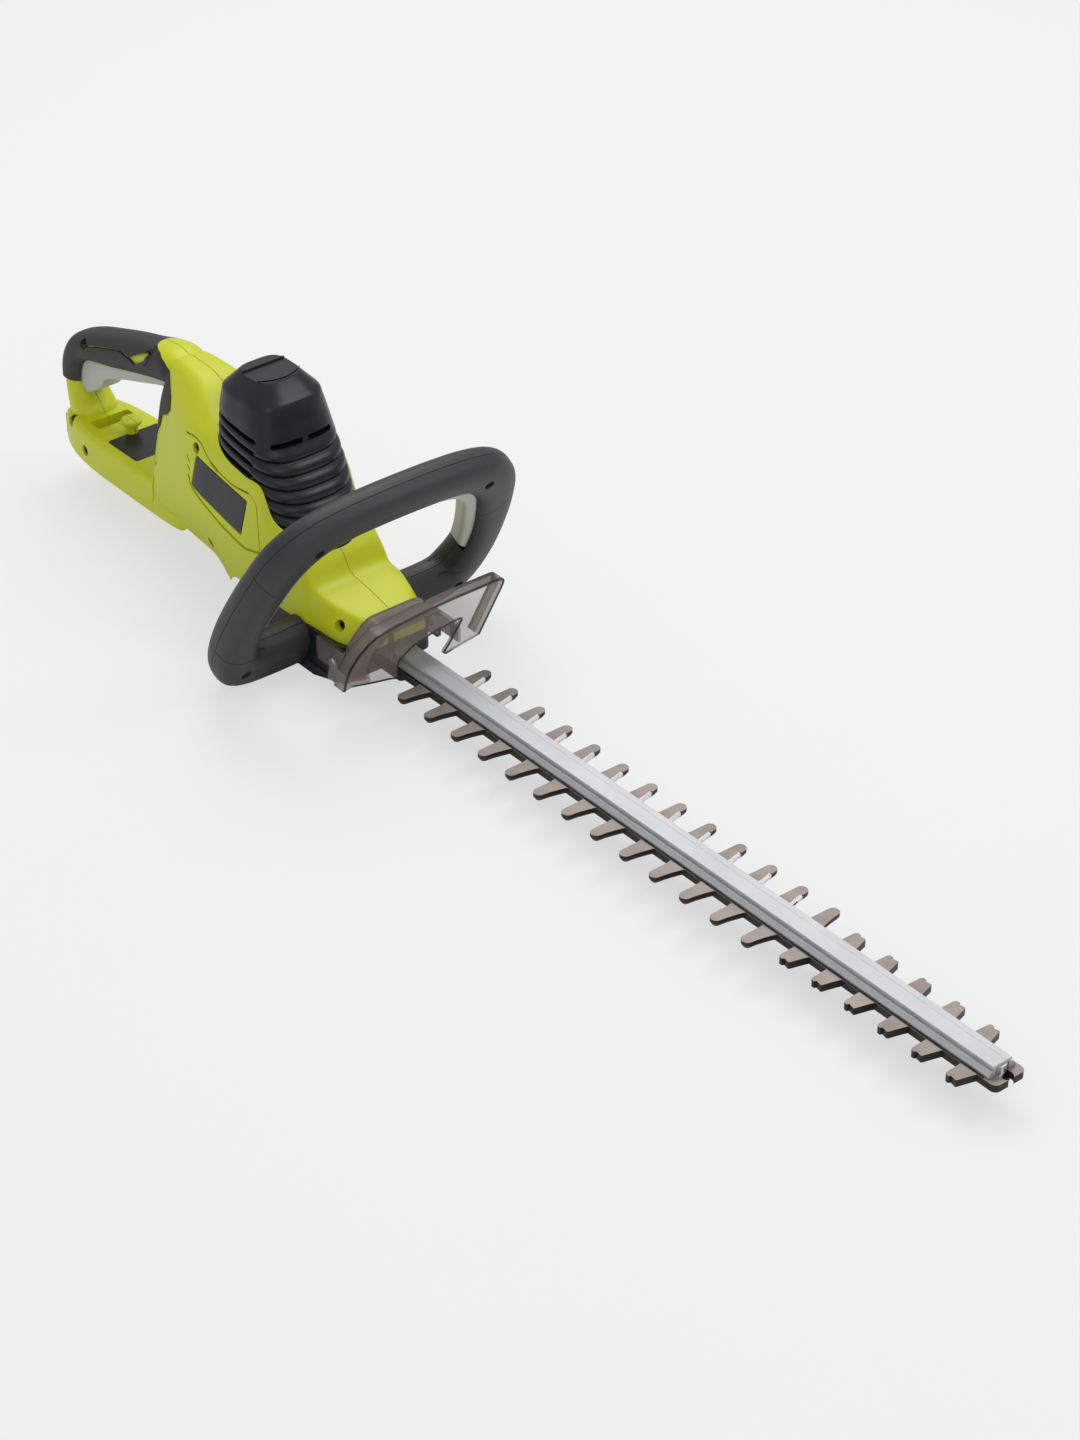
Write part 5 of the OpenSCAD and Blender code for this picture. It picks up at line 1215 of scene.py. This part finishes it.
GUARD_TOP = [(-60, 6), (-57, 18), (-45, 31), (-34, 37), (-22, 39.5), (0, 41), (30, 42.5), (74, 42),
             (75, 38), (53, 5)]
GUARD_UNDER = [(30, 2), (24, 1), (22, 3), (27, 8), (39, 24), (15, 22), (-3, 18), (-15, 11), (-15, -2),
               (-21, 0), (-36, 3), (-53, 7)]
GUARD_X = -22.4
LIP = 0.3
HOOD = [(-37, 4), (-37, 16), (-31, 24), (-20, 33), (20, 33), (31, 24), (37, 16), (37, 4)]
HOOK = [(-36.5, 3), (-53, 7), (-60, 6), (-57, 18)]


def wall_band(line, t):
    """Outline of an open line thickened by t to the right of its way."""
    p = np.asarray(line, float)
    d = np.gradient(p, axis=0)
    n = np.stack([d[:, 1], -d[:, 0]], -1) / np.linalg.norm(d, axis=1)[:, None]
    return np.concatenate([p, (p + n * t)[::-1]])


def guard():
    """Smoky clear guard: front panel with its opening, folded rim, hook at the right, and a hood behind."""
    t = sizes().guard
    top = smooth_line(GUARD_TOP, 6, 6)
    under = smooth_line(GUARD_UNDER, 2.5, 4)
    panel = prism("blade_guard_moulding", np.concatenate([top, under]), "x", GUARD_X, GUARD_X + t)
    rim = prism("rim", wall_band(top, t), "x", GUARD_X - 8, GUARD_X + 0.01)
    hook = prism("hook", wall_band(smooth_line(HOOK, 5, 6), t), "x", GUARD_X - 16, GUARD_X + 0.01)
    hood = prism("hood", wall_band(smooth_line(HOOD, 4, 5), -t + 0.2), "x", -46, GUARD_X + 0.01)
    tabs = []
    for s in (-1, 1):
        low, high = sorted((s * BASE_HALF, s * (BASE_HALF + t)))
        tabs.append(round_box("tab", (-77, low, -4), (-45, high, 14), 2.0, "y"))
    carve(panel, "UNION", [rim, hook, hood] + tabs)
    front = GUARD_X + t
    carve(panel, "UNION", [prism("edge", wall_band(top, 1.5), "x", front - 0.1, front + LIP),
                           prism("edge", wall_band(under, 1.1), "x", front - 0.1, front + LIP)])
    rib = prism("rib", [(-17.4, 12), (-16.0, 12), (-16.0, 34), (-17.4, 34)], "x", GUARD_X - 5, GUARD_X + 0.5)
    carve(panel, "UNION", rib)
    cuts = [rod("screw", (GUARD_SCREW[0], s * 20, GUARD_SCREW[1]), (GUARD_SCREW[0], s * 60, GUARD_SCREW[1]),
                3.4) for s in (-1, 1)]
    carve(panel, "DIFFERENCE", cuts + [block("notch", (-31, 12, 40.5), (-28.4, 15, 46))])
    return finish(panel, paint("guard_smoke"), "body", ["blade_guard"], 30)


# ------------------------------------------------------------------ rail and blades

RAIL_END = BLADE_END - 7.5
BOLT_LAST = RAIL_END - 3.5
TOOTH_PITCH = 28.0
TOOTH_FOOT = 12.5
RIGHT_TEETH = (19, 6)
LEFT_TEETH = (18, 5)
LEFT_SHIFT = 12.5
GROUND_TEETH = 12
SPINE_HALF = 12.5
BLADE_THICK = 2.5
BOLTS = [BOLT_FIRST + i * (BOLT_LAST - BOLT_FIRST) / 5 for i in range(6)]


def rail():
    """Extruded rail: a hat section with a deep groove along each side and a shallow recess down its top."""
    f, t, c, h = 10.75, 7.75, 5.4, 7.4
    side = [(f, 0), (f, 1.3), (f - 0.3, 1.6), (t + 1.3, h * 0.46), (t + 1.1, h * 0.52), (t - 0.9, h * 0.58),
            (t - 0.9, h * 0.74), (t, h * 0.82), (t, h - 0.35), (t - 0.35, h)]
    outline = side + [(3.1, h), (3.0, h - 0.12), (-3.0, h - 0.12), (-3.1, h)]
    outline += [(-y, z) for y, z in side[::-1]] + [(-c, 0), (-c, h - 1.8), (c, h - 1.8), (c, 0)]
    p = np.array(outline) + (0, SLIDE_HALF)
    x = np.concatenate([[-62.0, -61.7], np.linspace(-61, RAIL_END - 1, 24), [RAIL_END - 0.3, RAIL_END]])
    rings = np.empty((len(x), len(p), 3))
    rings[:, :, 0], rings[:, :, 1], rings[:, :, 2] = x[:, None], p[:, 0], p[:, 1]
    piece = loft("blade_rail_extrusion", rings)
    return finish(piece, paint("rail_bright"), "body", ["blade_rail"], 12)


def tooth(blunt):
    """Outline of one tooth that points to -Y, from its rear foot to its front foot."""
    root = -11.5
    if blunt:
        return [(-1, root), (-0.4, -24), (0.2, -25.4), (1.2, -26), (3, -26), (3.3, -25.4), (3.6, -24.6),
                (8, -25.4), (8.6, -24.6), (11.1, root - 4), (TOOTH_FOOT, root)]
    r, reach = 4.0, 33.0
    w = np.radians(np.linspace(178, 356, 14))
    tip = [(r + r * math.cos(a), -reach + r + r * math.sin(a)) for a in w]
    return [(-1.2, root), (-0.6, root - 1.6), (-0.1, root - 5)] + tip + [
        (8.6, -24.5), (9.6, -20), (10.5, -16.5), (11.3, -13.6), (TOOTH_FOOT, root)]


def tooth_row(name, teeth, shift, side, low, high, under):
    """Comb of teeth along one side of a blade, from low to high, its flanks drawn in by under at the bottom.

    teeth is the number of teeth and how many of them, at the end, are blunt.
    """
    count, blunt = teeth
    points = [(shift - 1.2, -5.0)]
    for k in range(count):
        points += [(TOOTH_PITCH * k + shift + x, y) for x, y in tooth(k >= count - blunt)]
    points.append((TOOTH_PITCH * (count - 1) + shift + TOOTH_FOOT, -5.0))
    p = np.array(points)
    d = np.roll(p, -1, 0) - np.roll(p, 1, 0)
    n = np.stack([d[:, 1], -d[:, 0]], -1) / np.linalg.norm(d, axis=1)[:, None]
    n *= np.sign(np.sum(p[:, 0] * np.roll(p[:, 1], -1) - p[:, 1] * np.roll(p[:, 0], -1)))
    n[p[:, 0] > TOOTH_PITCH * (count - blunt) + shift - 6.0] = 0.0
    rings = np.empty((2, len(p), 3))
    rings[0, :, :2], rings[1, :, :2] = (p - n * under) * (1, -side), p * (1, -side)
    rings[:, :, 2] = np.array([[low], [high]])
    return loft(name, rings)


def blade(name, low, ground):
    """Blade: a spine with teeth on both sides, bolt slots and the yoke for its eccentric."""
    high = low + BLADE_THICK
    under = 0.0 if ground else 1.6
    piece = round_box(name, (GEAR_X, -SPINE_HALF, low), (BLADE_END, SPINE_HALF, high), 4, "z", 6)
    yoke = round_box("yoke", (GEAR_X - 19.54, -25.3, low), (GEAR_X + 19.54, 25.3, high), 6)
    carve(piece, "UNION", [yoke, tooth_row("right", RIGHT_TEETH, 0.0, -1, low, high, under),
                           tooth_row("left", LEFT_TEETH, LEFT_SHIFT, 1, low, high, under)])
    cuts = [round_box("slot", (x - 11.6, -4.1, low - 1), (x + 11.6, 4.1, high + 1), 4.09, "z", 8)
            for x in BOLTS]
    cuts.append(block("eccentric", (GEAR_X - 14.54, -20.3, low - 1), (GEAR_X + 14.54, 20.3, high + 1)))
    carve(piece, "DIFFERENCE", cuts)
    if ground:
        carve(piece, "DIFFERENCE", joined("bevels", [
            bevel_wedge(TOOTH_PITCH * k + LEFT_SHIFT + 11.5, high) for k in range(GROUND_TEETH)]))
    return piece


def bevel_wedge(x, top):
    """Wedge that grinds the front flank of a left-hand tooth: a triangle pushed along the leaning flank."""
    w = math.radians(12)
    section = np.array([-sizes().bevel, 1.4, 1.4])
    reach = np.array([[0.4], [13.0]])
    rings = np.empty((2, 3, 3))
    rings[:, :, 0] = x + section * math.cos(w) - reach * math.sin(w)
    rings[:, :, 1] = 13.5 + section * math.sin(w) + reach * math.cos(w)
    rings[:, :, 2] = top + np.array([0.0, -1.9, 0.6])
    return loft("wedge", rings)


def blades():
    """Both blades."""
    for name, low, ground in (("upper_blade_plate", 0.05, True), ("lower_blade_plate", -2.55, False)):
        piece = blade(name, low, ground)
        finish(piece, paint("blade_steel"), name[:11], [name[:11]], 22)


# ------------------------------------------------------------------ screws

def star_screw(name, at, out, head, head_t, shank, length_):
    """Screw: a head with a rounded edge and a six-lobed recess, and a plain shank, along the way out."""
    at, d = np.asarray(at, float), np.asarray(out, float)
    d = d / np.linalg.norm(d)
    r = head / 2
    profile = [(-length_, shank / 2 * 0.7), (-length_ + shank / 2, shank / 2), (0, shank / 2), (0, r),
               (head_t * 0.55, r), (head_t * 0.85, r * 0.93), (head_t, r * 0.8)]
    piece = turned(name, profile, at, d, 40)
    u = np.cross(d, [0.0, 0.0, 1.0] if abs(d[2]) < 0.9 else [1.0, 0.0, 0.0])
    u /= np.linalg.norm(u)
    v = np.cross(d, u)
    w = np.linspace(0, 2 * np.pi, 48, endpoint=False)
    lobes = r * (0.42 + 0.07 * np.cos(6 * w))
    star = np.cos(w)[:, None] * u + np.sin(w)[:, None] * v
    levels = np.array([head_t * 0.25, head_t + 1.0])
    rings = at + levels[:, None, None] * d + (lobes[:, None] * star)[None]
    return carve(piece, "DIFFERENCE", loft("recess", rings))


def screws():
    """Screws of the housings, the handle, the base cover and the guard, each set in place of its solid."""
    sets = {"housing_screws": [], "handle_screws": [], "base_screws": [], "guard_screws": []}
    for x, z, out in SCREWS:
        sets["housing_screws"].append(star_screw("s", (x, -out, z), (0, -1, 0), 7, 2.2, 4, 2 * out - 5))
    up = leaned([(0, 0, 1)])[0] - leaned([(0, 0, 0)])[0]
    for x, y in HANDLE_SCREWS:
        sets["handle_screws"].append(star_screw("s", leaned([(x, y, 4)])[0], up, 7, 2.2, 4, 13))
    for s in (-1, 1):
        for x, z in ARM_SCREWS:
            sets["handle_screws"].append(star_screw("s", (x, s * 40.5, z), (0, s, 0), 7, 2.2, 4, 12.4))
        at = (GUARD_SCREW[0], s * 39.9, GUARD_SCREW[1])
        sets["guard_screws"].append(star_screw("s", at, (0, s, 0), 6.5, 2, 3, 9.4))
    for x, y in BASE_BOSSES:
        sets["base_screws"].append(star_screw("s", (x, y, FLOOR + 1.6), (0, 0, -1), 7, 1.3, 4, 11.6))
    for name, parts in sets.items():
        whole = joined(name[:-1] + "_set", parts)
        material = paint("screw_black" if name == "housing_screws" else "zinc")
        finish(whole, material, "body", [name], 28)


# ------------------------------------------------------------------ carried-over solids

CARRIED = {
    "base_cover": "case_black", "gear_plate": "die_cast", "rail_nuts": "zinc", "blade_bolts": "zinc",
    "blade_washers": "zinc", "drive_gear": "gear_steel", "drive_shaft": "gear_steel", "lower_bush": "bronze",
    "upper_bush": "bronze", "motor_can": "motor_can", "motor_magnets": "magnet",
    "motor_end_cap": "case_black", "motor_bearings": "gear_steel", "motor_rotor": "winding",
    "motor_pinion": "gear_steel", "cooling_fan": "case_black", "motor_brushes": "carbon",
    "trigger_pin": "zinc", "trigger_spring": "gear_steel", "trigger_switch": "case_black",
    "circuit_board": "board", "capacitors": "sleeve", "transformer": "core_steel",
    "heat_sink": "motor_can", "battery_terminals": "contact", "inlet_socket": "case_black",
    "inlet_pins": "contact", "motor_leads": "insulation", "switch_leads": "insulation",
    "lever_springs": "gear_steel", "lever_switch": "case_black"}


def carried():
    """Gives the listed solids that stay their finishes."""
    for node, name in CARRIED.items():
        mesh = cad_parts[node].data
        mesh.materials.clear()
        mesh.materials.append(paint(name))


# ------------------------------------------------------------------ stage

GLOW = (0.855, 0.856, 0.858)
WORLD = (0.93, 0.94, 0.95, 1)
WORLD_STRENGTH = 0.62
# Name, place, aim, width and watts of each lamp.
LAMPS = (("key", (-0.9, 0.7, 2.1), (0, 0, 0.05), 1.5, 26.0),
         ("fill", (1.7, -1.3, 1.6), (0, 0, 0.05), 1.8, 10.0),
         ("front", (1.15, 1.30, 1.95), (-0.1, 0, 0.1), 0.8, 10.0))
CAMERA_AT = (1.564317, -1.230209, 1.365124)
CAMERA_RIGHT = (0.63188, 0.77506, 0.0)
CAMERA_UP = (-0.43412, 0.35392, 0.82842)
FOCAL_LENGTH = 92.5
FLOOR_HALF = 9


def stage():
    """Level pale floor, soft lamps, the world's light and the camera."""
    f = Finish("studio_floor")
    grain = f.noise(120.0, 2.0)
    base = colours().floor
    tone = f.mix(grain, shade(base, 0.99), shade(base, 1.01))
    plain = f.node("ShaderNodeBsdfPrincipled", **{"Base Color": tone, "Roughness": 0.6,
                                                  "Specular IOR Level": 0.2})
    glow = f.node("ShaderNodeEmission", Color=GLOW, Strength=1.0)
    seen = Wire(f, f.node("ShaderNodeLightPath").outputs["Is Camera Ray"])
    both = f.node("ShaderNodeMixShader")
    f.feed(both.inputs[0], seen * 0.70)
    f.feed(both.inputs[1], plain.outputs[0])
    f.feed(both.inputs[2], glow.outputs[0])
    f.feed(f.node("ShaderNodeOutputMaterial").inputs["Surface"], both.outputs[0])
    floor = bpy.data.meshes.new("floor")
    corners = [(x * FLOOR_HALF, y * FLOOR_HALF, 0) for x, y in ((-1, -1), (1, -1), (1, 1), (-1, 1))]
    floor.from_pydata(corners, [], [(0, 1, 2, 3)])
    floor.materials.append(f.material)
    piece = linked("studio_floor", floor)
    world = bpy.data.worlds.new("studio")
    world.use_nodes = True
    world.node_tree.nodes["Background"].inputs["Color"].default_value = WORLD
    world.node_tree.nodes["Background"].inputs["Strength"].default_value = WORLD_STRENGTH
    bpy.context.scene.world = world
    for name, at, aim, size, power in LAMPS:
        lamp = bpy.data.lights.new(name, "AREA")
        lamp.shape, lamp.size, lamp.size_y, lamp.energy = "RECTANGLE", size, size, power
        holder = linked(name, lamp)
        holder.location = at
        way = np.asarray(aim, float) - at
        holder.rotation_euler = Vector(way).to_track_quat("-Z", "Y").to_euler()
    view = bpy.data.cameras.new("camera")
    view.lens, view.sensor_width = FOCAL_LENGTH, 36.0
    view.clip_start, view.clip_end = 0.05, 30.0
    camera = linked("camera", view)
    right, up = Vector(CAMERA_RIGHT), Vector(CAMERA_UP)
    turn = Matrix((right, up, right.cross(up))).transposed().to_4x4()
    camera.matrix_world = Matrix.Translation(CAMERA_AT) @ turn
    bpy.context.scene.camera = camera
    bpy.context.scene.view_settings.view_transform = "Standard"


# ------------------------------------------------------------------ operators

class TRIMMER_OT_housings(bpy.types.Operator):
    """Build the two lime housings"""
    bl_idname = "trimmer.housings"
    bl_label = "Housings"

    def execute(self, context):
        housing(-1)
        housing(1)
        return {"FINISHED"}


class TRIMMER_OT_grip(bpy.types.Operator):
    """Build the soft cover of the grip and the trigger"""
    bl_idname = "trimmer.grip"
    bl_label = "Grip and trigger"

    def execute(self, context):
        grip_cover(-1)
        grip_cover(1)
        trigger()
        return {"FINISHED"}


class TRIMMER_OT_plates(bpy.types.Operator):
    """Build the bare plates"""
    bl_idname = "trimmer.plates"
    bl_label = "Bare plates"

    def execute(self, context):
        bare_plates()
        return {"FINISHED"}


class TRIMMER_OT_cover(bpy.types.Operator):
    """Build the motor cover"""
    bl_idname = "trimmer.cover"
    bl_label = "Motor cover"

    def execute(self, context):
        motor_cover()
        return {"FINISHED"}


class TRIMMER_OT_front_handle(bpy.types.Operator):
    """Build the front handle and its switch lever"""
    bl_idname = "trimmer.front_handle"
    bl_label = "Front handle"

    def execute(self, context):
        front_handle()
        switch_lever()
        return {"FINISHED"}


class TRIMMER_OT_base(bpy.types.Operator):
    """Build the gear base"""
    bl_idname = "trimmer.base"
    bl_label = "Gear base"

    def execute(self, context):
        gear_base()
        return {"FINISHED"}


class TRIMMER_OT_guard(bpy.types.Operator):
    """Build the smoky guard"""
    bl_idname = "trimmer.guard"
    bl_label = "Guard"

    def execute(self, context):
        guard()
        return {"FINISHED"}


class TRIMMER_OT_blades(bpy.types.Operator):
    """Build the blade rail and the two blades"""
    bl_idname = "trimmer.blades"
    bl_label = "Rail and blades"

    def execute(self, context):
        rail()
        blades()
        return {"FINISHED"}


class TRIMMER_OT_screws(bpy.types.Operator):
    """Build the screws"""
    bl_idname = "trimmer.screws"
    bl_label = "Screws"

    def execute(self, context):
        screws()
        return {"FINISHED"}


class TRIMMER_OT_solids(bpy.types.Operator):
    """Give every solid that stays its finish"""
    bl_idname = "trimmer.solids"
    bl_label = "Inner parts"

    def execute(self, context):
        carried()
        return {"FINISHED"}


class TRIMMER_OT_stage(bpy.types.Operator):
    """Set up the floor, the lamps and the camera"""
    bl_idname = "trimmer.stage"
    bl_label = "Stage"

    def execute(self, context):
        stage()
        return {"FINISHED"}


STEPS = (TRIMMER_OT_stage, TRIMMER_OT_housings, TRIMMER_OT_grip, TRIMMER_OT_plates, TRIMMER_OT_cover,
         TRIMMER_OT_front_handle, TRIMMER_OT_base, TRIMMER_OT_guard, TRIMMER_OT_blades, TRIMMER_OT_screws,
         TRIMMER_OT_solids)


class TRIMMER_PT_panel(bpy.types.Panel):
    """Sizes, colours and building steps of the hedge trimmer"""
    bl_label = "Hedge Trimmer"
    bl_idname = "TRIMMER_PT_panel"
    bl_space_type = "VIEW_3D"
    bl_region_type = "UI"
    bl_category = "Trimmer"

    def draw(self, context):
        for group in (context.scene.trimmer_sizes, context.scene.trimmer_colours):
            box = self.layout.box()
            for name in group.bl_rna.properties.keys():
                if name not in ("rna_type", "name"):
                    box.prop(group, name)
        for item in STEPS:
            self.layout.operator(item.bl_idname)


CLASSES = (TrimmerSizes, TrimmerColours) + STEPS + (TRIMMER_PT_panel,)


def register():
    """Registers the classes and their settings."""
    for item in CLASSES:
        bpy.utils.register_class(item)
    bpy.types.Scene.trimmer_sizes = bpy.props.PointerProperty(type=TrimmerSizes)
    bpy.types.Scene.trimmer_colours = bpy.props.PointerProperty(type=TrimmerColours)


def unregister():
    """Takes them away again."""
    del bpy.types.Scene.trimmer_colours
    del bpy.types.Scene.trimmer_sizes
    for item in reversed(CLASSES):
        bpy.utils.unregister_class(item)


def main():
    """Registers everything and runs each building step."""
    register()
    bpy.ops.trimmer.stage()
    bpy.ops.trimmer.housings()
    bpy.ops.trimmer.grip()
    bpy.ops.trimmer.plates()
    bpy.ops.trimmer.cover()
    bpy.ops.trimmer.front_handle()
    bpy.ops.trimmer.base()
    bpy.ops.trimmer.guard()
    bpy.ops.trimmer.blades()
    bpy.ops.trimmer.screws()
    bpy.ops.trimmer.solids()


if __name__ == "__main__":
    main()
